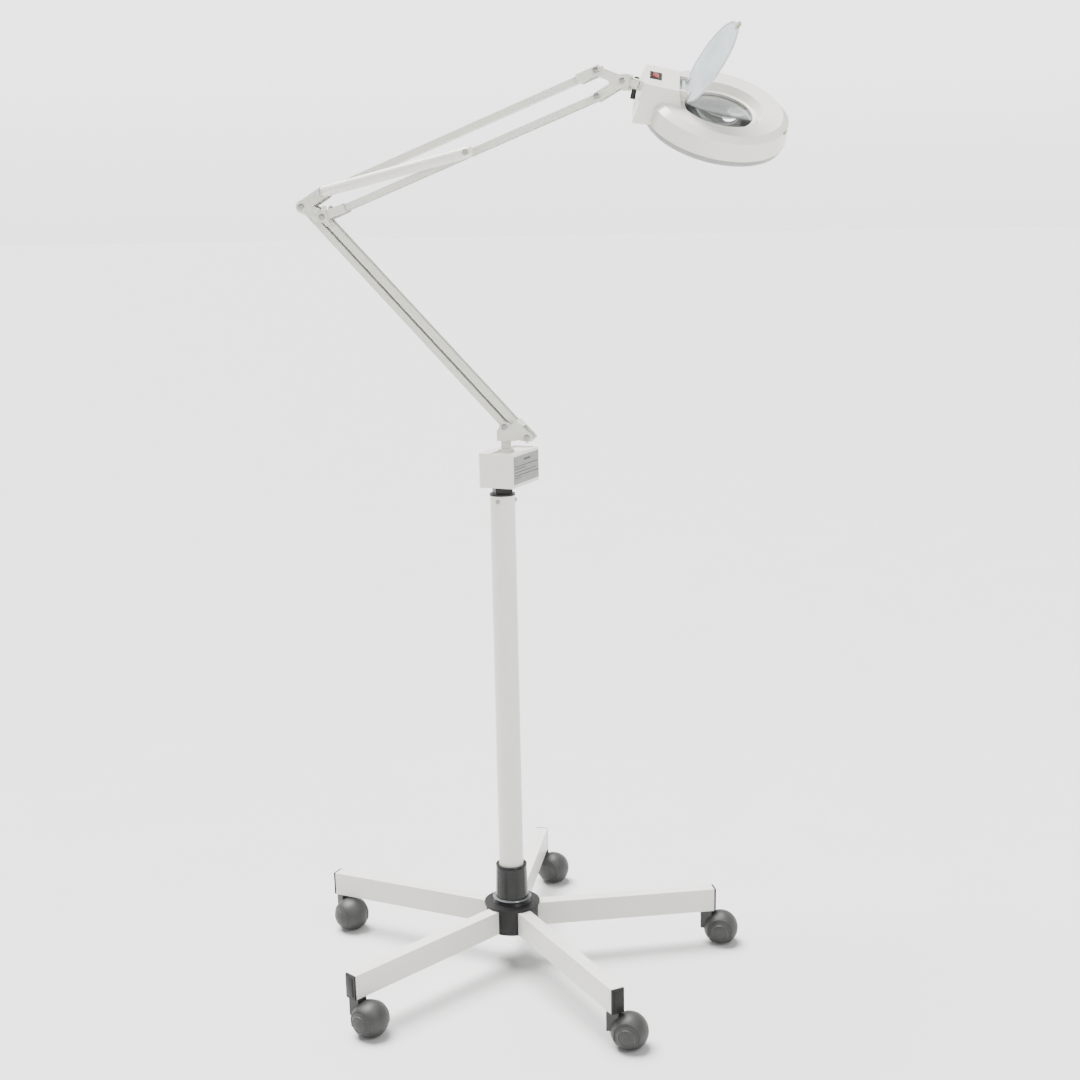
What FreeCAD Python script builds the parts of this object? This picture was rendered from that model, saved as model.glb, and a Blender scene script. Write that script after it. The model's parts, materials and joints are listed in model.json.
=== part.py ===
import FreeCAD, Part
import Sketcher
import math
import os

# Floor-standing magnifying lamp: five-star base on ball casters, column with a ballast box,
# a sprung double-parallelogram arm and a round lamp head with a lens under a flip cover.
# Millimetres and degrees.  The floor is Z = 0, the column stands on the Z axis, and the arm
# unfolds in the XZ plane with the head towards +X.

V = FreeCAD.Vector
X_AXIS, Y_AXIS, Z_AXIS = V(1, 0, 0), V(0, 1, 0), V(0, 0, 1)

DIMENSIONS = {
    # five-star base
    "leg_count": 5, "leg_end_radius": 330, "leg_root_radius": 24, "leg_height": 37,
    "leg_width": 20, "leg_wall": 1.5, "leg_rise": 0.6, "leg_underside": 54.4,
    "leg_first_angle": 25, "cap_thickness": 3, "cap_insert": 3,
    # casters
    "wheel_radius": 25.4, "wheel_width": 27, "hood_radius": 27.5, "hood_skirt": 5.5,
    "wheel_gap": 0.8, "caster_trail": 23, "stem_radius": 317, "stem_pin_radius": 5.5,
    "stem_block": 18, "running_fit": 0.06,
    # hub, sleeve and column
    "hub_radius": 41, "hub_floor": 56.5, "flange_radius": 43.5, "flange_thickness": 3.5,
    "hub_top": 95.5, "boss_height": 7, "boss_radius": 30, "sleeve_height": 54,
    "sleeve_foot_radius": 25.5, "sleeve_top_radius": 24, "column_radius": 19,
    "column_wall": 1.5, "column_top": 748.6, "ring_height": 3, "ring_radius": 19.4,
    "adapter_side": 26, "adapter_height": 14.4, "adapter_angle": 28, "screw_radius": 2.4,
    # ballast box
    "box_length": 99, "box_width": 56, "box_height": 51, "box_wall": 2.5, "box_corner": 5,
    "box_centre_x": 10.7, "box_centre_y": 3, "box_angle": 82, "cover_depth": 13,
    "rim_width": 4, "rim_depth": 2.2, "post_boss_radius": 12, "plate_margin": 5,
    "plate_thickness": 0.6, "gland_radius": 6, "gland_length": 14, "choke_length": 30,
    "choke_width": 34, "choke_height": 36,
    # arm, common sections
    "post_x": 7.5, "post_radius": 7.5, "bar_width": 14, "bar_depth": 10, "bar_wall": 1.2,
    "bar_overhang": 5, "cheek_inner": 16.6, "cheek_outer": 20.6, "cheek_strap_radius": 6.5,
    "cheek_spacer_radius": 3, "cheek_spacer_back": 17,
    "elbow_strap_radius": 8.8, "stop_plate_radius": 8.5, "stop_plate_thickness": 1.6,
    "stop_lobe_radius": 4, "stop_lobe_reach": 13,
    "fork_inner": 21.2, "fork_outer": 24.8, "fork_depth": 13, "fork_web": 1.6,
    "fork_overhang": 6.5, "fork_reach": 17, "elbow_fork_reach": 24, "fork_grip": 13,
    "pin_radius": 2.5, "pin_head_radius": 4.3, "pin_head_height": 2.2,
    # arm, lengths and rest angles
    "arm_length": 450, "shoulder_x": 43.8, "shoulder_height": 837.5, "bracket_floor": 831.7,
    "bracket_sheet": 2, "link_lower": 38, "link_lower_angle": 156, "link_upper": 35,
    "link_upper_angle": 91, "lower_arm_angle": 133.5, "upper_arm_angle": 20.4,
    # counterbalance spring in its tube, beside the upper arm
    "anchor_distance": 248, "tube_radius": 8.5, "tube_wall": 1.2, "tube_offset": 23.2,
    "tube_gap": 8, "tube_slot": 20, "rod_radius": 2.2, "eye_radius": 5, "eye_width": 5,
    "anchor_radius": 4, "spacer_radius": 3.5,
    # head bracket, knuckle and neck
    "knuckle_x": 36.3, "knuckle_z": 19.6, "knuckle_radius": 9.5, "knuckle_width": 16,
    "knuckle_nose": 10, "knuckle_height": 21, "knuckle_pitch": 13, "yaw_offset": 17,
    "tongue_radius": 6.2, "neck_tongue": 9, "neck_radius": 8, "barrel_radius": 3.6,
    "barrel_length": 13, "knob_radius": 11, "knob_height": 12,
    # lamp head
    "head_distance": 122.9, "head_drop": 8.3, "head_yaw": 17, "head_roll": 28,
    "shade_top_radius": 100.3, "shade_foot_radius": 104, "shade_height": 24.8,
    "bevel_radius": 90.5, "bevel_rise": 7, "opening_radius": 62.5, "opening_rise": 5.2,
    "seat_radius": 56, "seat_depth": 6, "lens_radius": 52.6, "view_radius": 50,
    "shade_wall": 2.2, "lens_edge": 4, "lens_sag": 6, "lip_thickness": 2.2,
    "diffuser_radius": 100.8, "diffuser_depth": 32.8, "diffuser_inner": 57.5,
    "lamp_ring_radius": 78, "lamp_tube_radius": 8, "lamp_level": 11.5,
    "housing_top": 26, "housing_floor": 25, "housing_back": 112, "housing_front": 64,
    "housing_half": 30, "flare_back": 119, "flare_front": 46, "flare_back_half": 51,
    "flare_front_half": 34, "housing_wall": 2.4,
    "rocker_length": 14, "rocker_width": 17, "rocker_height": 9, "rocker_x": 98,
    "rocker_axis": 26.3, "rocker_pivot": 1,
    "hinge_x": 56, "hinge_z": 17, "ear_radius": 7, "ear_gap": 40, "ear_thickness": 4,
    "flip_radius": 62, "flip_reach": 52, "flip_thickness": 2, "flip_level": 8.6,
    "flip_angle": 68, "hinge_pin_radius": 1.5, "hinge_barrel_radius": 3.2,
}

doc = FreeCAD.newDocument("magnifying_lamp")
sheet = doc.addObject("Spreadsheet::Sheet", "Dimensions")
for row, (alias, value) in enumerate(DIMENSIONS.items(), start=1):
    sheet.set("A%d" % row, alias)
    sheet.set("B%d" % row, str(value))
    sheet.setAlias("B%d" % row, alias)
doc.recompute()


def dim(alias):
    """The value of one cell of the sheet."""
    return float(sheet.get(alias))


def cell(alias):
    """How an expression names one cell of the sheet."""
    return "Dimensions." + alias


def bind(obj, **expressions):
    """Bind properties to expressions; a bare alias means that cell."""
    for prop, text in expressions.items():
        obj.setExpression(prop, cell(text) if text in DIMENSIONS else text)
    return obj


NODES = []          # finished sub-parts, in the order they are built


def finish(obj, label, placement=None):
    """Name a sub-part, place it and list it for export."""
    obj.Label = label
    if placement is not None:
        obj.Placement = placement
    NODES.append(obj)
    return obj


def unique(kind, base):
    return doc.addObject(kind, base)


def cylinder(radius, height, base=V(0, 0, 0), axis=Z_AXIS):
    obj = unique("Part::Cylinder", "Cylinder")
    obj.Placement = FreeCAD.Placement(base, FreeCAD.Rotation(Z_AXIS, axis))
    return bind(obj, Radius=radius, Height=height)


def cross_pin(radius, width, x, z):
    """A cylinder along Y, centred on the arm's plane, through the point (x, z)."""
    obj = unique("Part::Cylinder", "CrossPin")
    obj.Placement = FreeCAD.Placement(V(x, 0, z), FreeCAD.Rotation(X_AXIS, 90))
    bind(obj, Radius=radius, Height=width)
    doc.recompute([obj])
    obj.Placement.Base = V(x, float(obj.Height) / 2, z)
    return obj


def block(length, width, height, corner=V(0, 0, 0), rotation=FreeCAD.Rotation()):
    obj = unique("Part::Box", "Block")
    obj.Placement = FreeCAD.Placement(corner, rotation)
    return bind(obj, Length=length, Width=width, Height=height)


def fuse(*shapes):
    obj = unique("Part::MultiFuse", "Fusion")
    obj.Shapes = list(shapes)
    obj.Refine = True
    return obj


def cut(base, *tools):
    for tool in tools:
        obj = unique("Part::Cut", "Cut")
        obj.Base, obj.Tool = base, tool
        obj.Refine = True
        base = obj
    return base


def common(first, second):
    obj = unique("Part::MultiCommon", "Common")
    obj.Shapes = [first, second]
    return obj


def strap(start, end, radius, width):
    """A flat link in the arm's plane: a bar with round ends about two points (x, z)."""
    run = V(end[0] - start[0], 0, end[1] - start[1])
    angle = math.degrees(math.atan2(run.z, run.x))
    half = dim(width) / 2 if width in DIMENSIONS else float(width) / 2
    reach = dim(radius) if radius in DIMENSIONS else float(radius)
    turn = FreeCAD.Rotation(Y_AXIS, -angle)
    corner = V(start[0], 0, start[1]) + turn.multVec(V(0, -half, -reach))
    size = cell(radius) if radius in DIMENSIONS else str(radius)
    bar = block(str(run.Length), width, "2 * " + size, corner, turn)
    ends = [cross_pin(radius, width, *point) for point in (start, end)]
    return fuse(bar, *ends)


# ---------------------------------------------------------------- PartDesign helpers

def new_body(label):
    return doc.addObject("PartDesign::Body", label)


def new_sketch(body, role, lift=0.0):
    """A sketch on one origin plane of its own body, moved along the plane's normal."""
    sketch = body.newObject("Sketcher::SketchObject", "Sketch")
    plane = [f for f in body.Origin.OriginFeatures if f.Role == role][0]
    sketch.AttachmentSupport = [(plane, "")]
    sketch.MapMode = "FlatFace"
    sketch.AttachmentOffset = FreeCAD.Placement(V(0, 0, lift), FreeCAD.Rotation())
    return sketch


def draw_polygon(sketch, points):
    """A closed outline through the points, each corner held by a constraint."""
    first = sketch.GeometryCount
    corners = [V(x, y, 0) for x, y in points]
    for start, end in zip(corners, corners[1:] + corners[:1]):
        sketch.addGeometry(Part.LineSegment(start, end), False)
    count = len(corners)
    for i in range(count):
        sketch.addConstraint(Sketcher.Constraint("Coincident", first + i, 2, first + (i + 1) % count, 1))


def draw_rectangle(sketch, width, height):
    """A rectangle centred on the sketch's origin, its two sides bound to the sheet."""
    doc.recompute()
    w, h = [dim(a) if a in DIMENSIONS else float(a) for a in (width, height)]
    draw_polygon(sketch, [(-w / 2, -h / 2), (w / 2, -h / 2), (w / 2, h / 2), (-w / 2, h / 2)])
    add = sketch.addConstraint
    add([Sketcher.Constraint("Horizontal", 0), Sketcher.Constraint("Horizontal", 2),
         Sketcher.Constraint("Vertical", 1), Sketcher.Constraint("Vertical", 3),
         Sketcher.Constraint("Symmetric", 0, 1, 1, 2, -1, 1)])
    for name, edge, kind, text in (("across", 0, "DistanceX", width), ("upright", 1, "DistanceY", height)):
        index = add(Sketcher.Constraint(kind, edge, 1, edge, 2, w if kind == "DistanceX" else h))
        sketch.renameConstraint(index, name)
        if text in DIMENSIONS:
            sketch.setExpression("Constraints." + name, cell(text))


def add_feature(body, kind, sketch, **expressions):
    """Add one sketch-based feature, bind its sizes and recompute it."""
    feature = body.newObject("PartDesign::" + kind, kind)
    feature.Profile = sketch
    bind(feature, **expressions)
    doc.recompute()
    return feature


def revolve(body, sketch, kind="Revolution"):
    """Turn a sketch drawn on the XZ plane all the way round the body's Z axis."""
    feature = body.newObject("PartDesign::" + kind, kind)
    feature.Profile = sketch
    feature.ReferenceAxis = (sketch, ["V_Axis"])
    feature.Angle = 360
    doc.recompute()
    return feature


def round_uprights(body, radius, chosen):
    """Round the vertical edges whose y passes a test."""
    solid = body.Tip
    names = ["Edge%d" % (i + 1) for i, edge in enumerate(solid.Shape.Edges)
             if abs(edge.tangentAt(edge.FirstParameter).z) > 0.9 and chosen(edge.CenterOfMass.y)]
    rounded = body.newObject("PartDesign::Fillet", "Corners")
    rounded.Base = (solid, names)
    bind(rounded, Radius=radius)
    doc.recompute()


def turned(label, *outlines):
    """A body made by revolving outlines of (radius, height) points about its Z axis."""
    body = new_body(label)
    sketch = new_sketch(body, "XZ_Plane")
    for points in outlines:
        draw_polygon(sketch, points)
    revolve(body, sketch)
    return body


# ---------------------------------------------------------------- base

def leg_angle(index):
    return dim("leg_first_angle") + 360 / dim("leg_count") * index


def leg_placement(index):
    """The leg's frame: X outwards along the leg, its origin at the middle of the outer end."""
    spin = FreeCAD.Rotation(Z_AXIS, leg_angle(index)) * FreeCAD.Rotation(Y_AXIS, dim("leg_rise"))
    radius = dim("leg_end_radius")
    height = dim("leg_underside") + dim("leg_height") / 2
    base = FreeCAD.Rotation(Z_AXIS, leg_angle(index)).multVec(V(radius, 0, height))
    return FreeCAD.Placement(base, spin)


def leg_section(body, inner=False):
    sketch = new_sketch(body, "YZ_Plane")
    shrink = 2 * dim("leg_wall") if inner else 0
    width, height = dim("leg_width") - shrink, dim("leg_height") - shrink
    draw_rectangle(sketch, str(width) if inner else "leg_width", str(height) if inner else "leg_height")
    return sketch


def make_leg(index):
    """A rectangular steel tube with a hole under its outer end for the caster's stem."""
    body = new_body("Leg")
    length = "Dimensions.leg_end_radius - Dimensions.leg_root_radius - Dimensions.cap_thickness"
    offset = -dim("cap_thickness")
    outline = leg_section(body)
    outline.AttachmentOffset = FreeCAD.Placement(V(0, 0, offset), FreeCAD.Rotation())
    add_feature(body, "Pad", outline, Length=length).Reversed = True
    doc.recompute()
    bore = leg_section(body, inner=True)
    bore.AttachmentOffset = FreeCAD.Placement(V(0, 0, offset), FreeCAD.Rotation())
    hollow = body.newObject("PartDesign::Pocket", "Hollow")
    hollow.Profile = bore
    hollow.Type = "ThroughAll"
    hollow.Midplane = True
    doc.recompute()
    sketch = new_sketch(body, "XY_Plane", -dim("leg_height") / 2 - 1)
    lean = math.tan(math.radians(dim("leg_rise"))) * dim("leg_height") / 2
    centre = V(dim("stem_radius") - dim("leg_end_radius") + lean, 0, 0)
    sketch.addGeometry(Part.Circle(centre, Z_AXIS, dim("stem_pin_radius")), False)
    index_radius = sketch.addConstraint(Sketcher.Constraint("Radius", 0, dim("stem_pin_radius")))
    sketch.renameConstraint(index_radius, "hole")
    sketch.setExpression("Constraints.hole", "%s + %s" % (cell("stem_pin_radius"), cell("running_fit")))
    stem_hole = body.newObject("PartDesign::Pocket", "StemHole")
    stem_hole.Profile = sketch
    stem_hole.Reversed = True
    stem_hole.Length = 5
    finish(body, "leg_%d" % (index + 1), leg_placement(index))


def make_leg_cap(index):
    """A plastic plug that closes the leg flush with its walls."""
    body = new_body("LegCap")
    plate = leg_section(body)
    add_feature(body, "Pad", plate, Length="cap_thickness").Reversed = True
    doc.recompute()
    insert = leg_section(body, inner=True)
    insert.AttachmentOffset = FreeCAD.Placement(V(0, 0, -dim("cap_thickness")), FreeCAD.Rotation())
    add_feature(body, "Pad", insert, Length="cap_insert").Reversed = True
    finish(body, "leg_cap_%d" % (index + 1), leg_placement(index))


def caster_placement(index):
    """The stem's axis under a leg's end; X points along the wheel's trail."""
    trail_angle = CASTER_TRAILS[index]
    base = FreeCAD.Rotation(Z_AXIS, leg_angle(index)).multVec(V(dim("stem_radius"), 0, 0))
    return FreeCAD.Placement(base, FreeCAD.Rotation(Z_AXIS, trail_angle))


CASTER_TRAILS = (5, -14, -40, -21, 0)       # where each caster happens to point


def make_caster(index):
    """One ball caster: a spherical hood with its stem, and the wheel inside it."""
    trail, axle = dim("caster_trail"), dim("wheel_radius")
    ball = bind(unique("Part::Sphere", "Ball"), Radius="hood_radius")
    ball.Placement.Base = V(trail, 0, axle)
    reach = 2 * dim("hood_radius")
    skirt = block(str(2 * reach), str(2 * reach), "20 + Dimensions.hood_skirt", V(trail - reach, -reach, -20))
    neck_height = dim("leg_underside") - 0.4 - axle
    half = dim("stem_block") / 2
    neck = block("stem_block", "stem_block", str(neck_height), V(-half, -half, axle))
    stem = cylinder("stem_pin_radius", "18 + 2 * " + cell("leg_wall"), V(0, 0, axle + neck_height - 1))
    room_ball = bind(unique("Part::Sphere", "Room"), Radius="Dimensions.wheel_radius + Dimensions.wheel_gap")
    room_ball.Placement.Base = V(trail, 0, axle)
    room_slot = cross_pin("hood_radius", "Dimensions.wheel_width + 2 * Dimensions.wheel_gap", 0, 0)
    room_slot.Placement.Base += V(trail, 0, axle)
    wheel_room = common(room_ball, room_slot)
    axle_pin = cross_pin("2.5", "Dimensions.wheel_width + 6", 0, 0)
    axle_pin.Placement.Base += V(trail, 0, axle)
    hood = fuse(cut(fuse(ball, neck), skirt, wheel_room), stem, axle_pin)
    finish(hood, "caster_hood_%d" % (index + 1), caster_placement(index))

    body = new_body("Wheel")
    sketch = new_sketch(body, "XY_Plane")
    radius, width, bore = dim("wheel_radius"), dim("wheel_width") / 2, 2.5 + dim("running_fit")
    side = [(math.sqrt(radius ** 2 - level ** 2) - 0.2, level) for level in (5, 7.5, 10, width)]
    tread = [(r, -level) for r, level in reversed(side)] + [(radius, -3), (radius, 3)] + side
    draw_polygon(sketch, [(bore, -width)] + tread + [(bore, width)])
    revolve(body, sketch)
    at = caster_placement(index)
    at.Base += at.Rotation.multVec(V(trail, 0, axle))
    finish(body, "caster_wheel_%d" % (index + 1), at)


def make_hub():
    """The plastic hub that the five legs plug into, with its flange and cone."""
    hub_height = cell("hub_top") + " - " + cell("hub_floor")
    core = cylinder("hub_radius", hub_height, V(0, 0, dim("hub_floor")))
    flange = cylinder("flange_radius", "flange_thickness", V(0, 0, dim("hub_top")))
    cone = unique("Part::Cone", "Boss")
    cone.Placement.Base = V(0, 0, dim("hub_top") + dim("flange_thickness"))
    bind(cone, Radius1="boss_radius", Radius2="sleeve_foot_radius", Height="boss_height")
    socket_tools = []
    for index in range(int(dim("leg_count"))):
        at = leg_placement(index)
        corner = at.multVec(V(dim("leg_root_radius") - dim("leg_end_radius"), -dim("leg_width") / 2,
                              -dim("leg_height") / 2))
        socket_tools.append(block("60", "leg_width", "leg_height", corner, at.Rotation))
    bore = cylinder("column_radius", "column_top", V(0, 0, dim("hub_floor") + 4))
    hub = cut(fuse(core, flange, cone), bore, *socket_tools)
    finish(hub, "hub_body")

    foot = dim("hub_top") + dim("flange_thickness") + dim("boss_height")
    r0, r1, inside = dim("sleeve_foot_radius"), dim("sleeve_top_radius"), dim("column_radius")
    height = dim("sleeve_height")
    bead = 1.2
    sleeve = turned("Sleeve", [(inside, 0), (r0, 0), (r0 + bead, bead), (r0, 2 * bead), (r1, height - 2),
                               (r1 - 2, height), (inside, height)])
    finish(sleeve, "hub_sleeve", FreeCAD.Placement(V(0, 0, foot), FreeCAD.Rotation()))


def make_column():
    """The painted steel tube, its top ring, the adapter under the box and three screws."""
    floor = dim("hub_floor") + 4
    top = dim("column_top")
    outside = cylinder("column_radius", str(top - floor), V(0, 0, floor))
    inner_radius = cell("column_radius") + " - " + cell("column_wall")
    inside = cylinder(inner_radius, str(top - floor), V(0, 0, floor))
    finish(cut(outside, inside), "column")
    ring = fuse(cylinder("ring_radius", "ring_height", V(0, 0, top)),
                cylinder(inner_radius, "30", V(0, 0, top - 30)))
    finish(ring, "column_ring")

    half = dim("adapter_side") / 2
    turn = FreeCAD.Rotation(Z_AXIS, dim("adapter_angle"))
    corner = V(0, 0, top + dim("ring_height")) + turn.multVec(V(-half, -half, 0))
    finish(block("adapter_side", "adapter_side", "adapter_height", corner, turn), "adapter_block")

    screws = []
    for index in range(3):
        out = FreeCAD.Rotation(Z_AXIS, 120 * index - 95).multVec(X_AXIS)
        screw = cylinder("screw_radius", "2.5", out * (dim("column_radius") - 0.6) + V(0, 0, top - 8), out)
        screws.append(cut(screw, cylinder("column_radius", "20", V(0, 0, top - 20))))
    group = unique("Part::Compound", "ColumnScrews")
    group.Links = screws
    finish(group, "column_screws")


# ---------------------------------------------------------------- ballast box

def box_placement():
    base = V(dim("box_centre_x"), dim("box_centre_y"), box_floor())
    return FreeCAD.Placement(base, FreeCAD.Rotation(Z_AXIS, dim("box_angle")))


def box_floor():
    return dim("column_top") + dim("ring_height") + dim("adapter_height")


def make_ballast_box():
    """The enclosure on the column: a shell with a rimmed top, and its side cover."""
    wall, height, length = dim("box_wall"), dim("box_height"), dim("box_length")
    width, cover = dim("box_width"), dim("cover_depth")
    shell_width = width - cover
    post = box_placement().inverse().multVec(V(dim("post_x"), 0, 0))
    body = new_body("BallastBox")
    outline = new_sketch(body, "XY_Plane")
    x0, x1, y0, y1 = -length / 2, length / 2, -width / 2, -width / 2 + shell_width
    draw_polygon(outline, [(x0, y0), (x1, y0), (x1, y1), (x0, y1)])
    add_feature(body, "Pad", outline, Length="box_height")
    round_uprights(body, "box_corner", lambda y: y < 0)
    tray = new_sketch(body, "XY_Plane", height)
    rim = dim("rim_width")
    draw_polygon(tray, [(x0 + rim, y0 + rim), (x1 - rim, y0 + rim),
                        (x1 - rim, y1 - rim), (x0 + rim, y1 - rim)])
    add_feature(body, "Pocket", tray, Length="rim_depth")
    cavity = new_sketch(body, "XY_Plane", wall)
    draw_polygon(cavity, [(x0 + wall, y0 + wall), (x1 - wall, y0 + wall),
                          (x1 - wall, y1 + 1), (x0 + wall, y1 + 1)])
    inner = add_feature(body, "Pocket", cavity,
                        Length="Dimensions.box_height - Dimensions.rim_depth - 2 * Dimensions.box_wall")
    inner.Reversed = True
    doc.recompute()
    boss = new_sketch(body, "XY_Plane", height - dim("rim_depth") - wall)
    boss.addGeometry(Part.Circle(V(post.x, post.y, 0), Z_AXIS, dim("post_boss_radius")), False)
    add_feature(body, "Pad", boss, Length="2 * Dimensions.rim_depth + Dimensions.box_wall")
    hole = new_sketch(body, "XY_Plane", height + 10)
    fit = dim("post_radius") + dim("running_fit")
    hole.addGeometry(Part.Circle(V(post.x, post.y, 0), Z_AXIS, fit), False)
    add_feature(body, "Pocket", hole, Length="Dimensions.rim_depth + Dimensions.box_wall + 20")
    finish(body, "ballast_box", box_placement())

    lid = new_body("BallastCover")
    outline = new_sketch(lid, "XY_Plane")
    draw_polygon(outline, [(x0, y1), (x1, y1), (x1, width / 2), (x0, width / 2)])
    add_feature(lid, "Pad", outline, Length="box_height")
    round_uprights(lid, "box_corner", lambda y: y > y1 + 1)
    room = new_sketch(lid, "XY_Plane", wall)
    draw_polygon(room, [(x0 + wall, y1 - 1), (x1 - wall, y1 - 1), (x1 - wall, width / 2 - wall),
                        (x0 + wall, width / 2 - wall)])
    hollow = add_feature(lid, "Pocket", room, Length="Dimensions.box_height - 2 * Dimensions.box_wall")
    hollow.Reversed = True
    finish(lid, "ballast_cover", box_placement())

    margin = dim("plate_margin")
    plate = block("Dimensions.box_length - 4 - Dimensions.plate_margin", "plate_thickness",
                  "Dimensions.box_height - 2 * Dimensions.plate_margin")
    at = box_placement()
    at.Base = at.multVec(V(x0 + 2 + margin / 2, y0 - dim("plate_thickness"), margin))
    finish(plate, "rating_plate", at)

    at = box_placement()
    at.Base = at.multVec(V(x0 + wall + 1, -dim("choke_width") / 2 - 6, wall))
    finish(block("choke_length", "choke_width", "choke_height"), "choke", at)

    gland = fuse(cylinder("gland_radius", "gland_length"),
                 cylinder("Dimensions.gland_radius + 2", "3"))
    at = box_placement()
    at.Base = at.multVec(V(x1, -width / 4, height / 3))
    at.Rotation = at.Rotation * FreeCAD.Rotation(Y_AXIS, 90)
    finish(gland, "inlet_gland", at)


# ---------------------------------------------------------------- arm

def polar(origin, length, angle):
    """The point (x, z) at a distance and an angle from another, in the arm's plane."""
    turn = math.radians(angle)
    return (origin[0] + length * math.cos(turn), origin[1] + length * math.sin(turn))


SHOULDER_FRONT = (dim("shoulder_x"), dim("shoulder_height"))
SHOULDER_REAR = polar(SHOULDER_FRONT, dim("link_lower"), dim("link_lower_angle"))
ELBOW_FRONT = polar(SHOULDER_FRONT, dim("arm_length"), dim("lower_arm_angle"))
ELBOW_REAR = polar(ELBOW_FRONT, dim("link_lower"), dim("link_lower_angle"))
ELBOW_TOP = polar(ELBOW_FRONT, dim("link_upper"), dim("link_upper_angle"))
WRIST_LOW = polar(ELBOW_FRONT, dim("arm_length"), dim("upper_arm_angle"))
WRIST_TOP = polar(WRIST_LOW, dim("link_upper"), dim("link_upper_angle"))
KNUCKLE = (WRIST_LOW[0] + dim("knuckle_x"), WRIST_LOW[1] + dim("knuckle_z"))
SPRING_ANCHOR = polar(ELBOW_FRONT, dim("anchor_distance"), dim("upper_arm_angle"))


def pin_group(label, points, width="fork_outer", extra=()):
    """Cross pins with a round head at each end; extra widens named pins on the near side."""
    solids = []
    for index, point in enumerate(points):
        spread = dim(width) + 0.6
        pin = cross_pin("pin_radius", str(spread), *point)
        head_at = spread / 2
        reach = extra[index] if extra else 0
        shaft = [pin]
        if reach:
            shaft.append(cylinder("pin_radius", str(reach), V(point[0], -head_at, point[1]), -Y_AXIS))
        near = cylinder("pin_head_radius", "pin_head_height",
                        V(point[0], -head_at - reach, point[1]), -Y_AXIS)
        far = cylinder("pin_head_radius", "pin_head_height", V(point[0], head_at, point[1]), Y_AXIS)
        solids.append(fuse(*shaft, near, far))
    group = unique("Part::Compound", "Pins")
    group.Links = solids
    finish(group, label)


def make_bar(label, start, angle, reach=None, web_side=1):
    """A folded channel from pin to pin.  With a reach, its first end is a U-shaped clip whose
    cheeks straddle the bracket; the clip's web lies on one side of the channel."""
    width, depth, wall = dim("bar_width"), dim("bar_depth"), dim("bar_wall")
    tail = dim("bar_overhang")
    first = dim(reach) if reach else -tail
    run = dim("arm_length") + tail - first
    outer = block(str(run), "bar_width", "bar_depth", V(first, -width / 2, -depth / 2))
    channel = block(str(run + 2), "Dimensions.bar_width - 2 * Dimensions.bar_wall", "bar_depth",
                    V(first - 1, wall - width / 2, -depth / 2 - wall))
    bar = cut(outer, channel)
    if reach:
        bar = fuse(bar, *make_clip(reach, web_side))
    fit = cell("pin_radius") + " + " + cell("running_fit")
    holes = [cross_pin(fit, "40", 0, 0), cross_pin(fit, "40", dim("arm_length"), 0)]
    at = FreeCAD.Placement(V(start[0], 0, start[1]), FreeCAD.Rotation(Y_AXIS, -angle))
    finish(cut(bar, *holes), label, at)


def make_clip(reach, web_side):
    """The two cheeks and the web of the U-shaped clip on a bar's end."""
    start, half, high = -dim("fork_overhang"), dim("fork_outer") / 2, dim("fork_depth") / 2
    length = "%s + %s + %s" % (cell(reach), cell("fork_grip"), cell("fork_overhang"))
    thickness = "(%s - %s) / 2" % (cell("fork_outer"), cell("fork_inner"))
    inner = dim("fork_inner") / 2
    cheeks = [block(length, thickness, "fork_depth", V(start, y, -high)) for y in (-half, inner)]
    level = dim("bar_depth") / 2 if web_side > 0 else -dim("bar_depth") / 2 - dim("fork_web")
    web = block("fork_grip", "fork_outer", "fork_web", V(dim(reach), -half, level))
    return cheeks + [web]


def make_shoulder():
    """The swivel post and the folded bracket that carries both lower bars."""
    floor, sheet_thickness = dim("bracket_floor"), dim("bracket_sheet")
    foot = box_floor() + dim("box_height") - 30
    finish(cylinder("post_radius", str(floor - foot), V(dim("post_x"), 0, foot)), "swivel_post")
    left, right, half = -3.6, 25.4, dim("cheek_outer") / 2
    foot_height, back_radius, brace_radius = 16, 7.5, 6
    slab = block(str(right - left), "cheek_outer", str(foot_height), V(left, -half, floor))
    heel, toe = (left + back_radius, floor + 12), (right - brace_radius, floor + 9)
    back = strap(heel, SHOULDER_REAR, str(back_radius), "cheek_outer")
    link = strap(SHOULDER_REAR, SHOULDER_FRONT, str(back_radius), "cheek_outer")
    brace = strap(toe, SHOULDER_FRONT, str(brace_radius), "cheek_outer")
    span, spare = "100", 30
    room = block(span, "cheek_inner", span, V(-spare, -dim("cheek_inner") / 2, floor + sheet_thickness))
    holes = [cross_pin("pin_radius", span, *point) for point in (SHOULDER_REAR, SHOULDER_FRONT)]
    below = block(span, str(2 * spare), str(spare), V(-spare, -spare, floor - spare))
    finish(cut(fuse(slab, back, link, brace), room, below, *holes), "shoulder_bracket")
    pin_group("shoulder_pins", (SHOULDER_REAR, SHOULDER_FRONT))


STOP_LOBES = (75, 193, 307)


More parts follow.
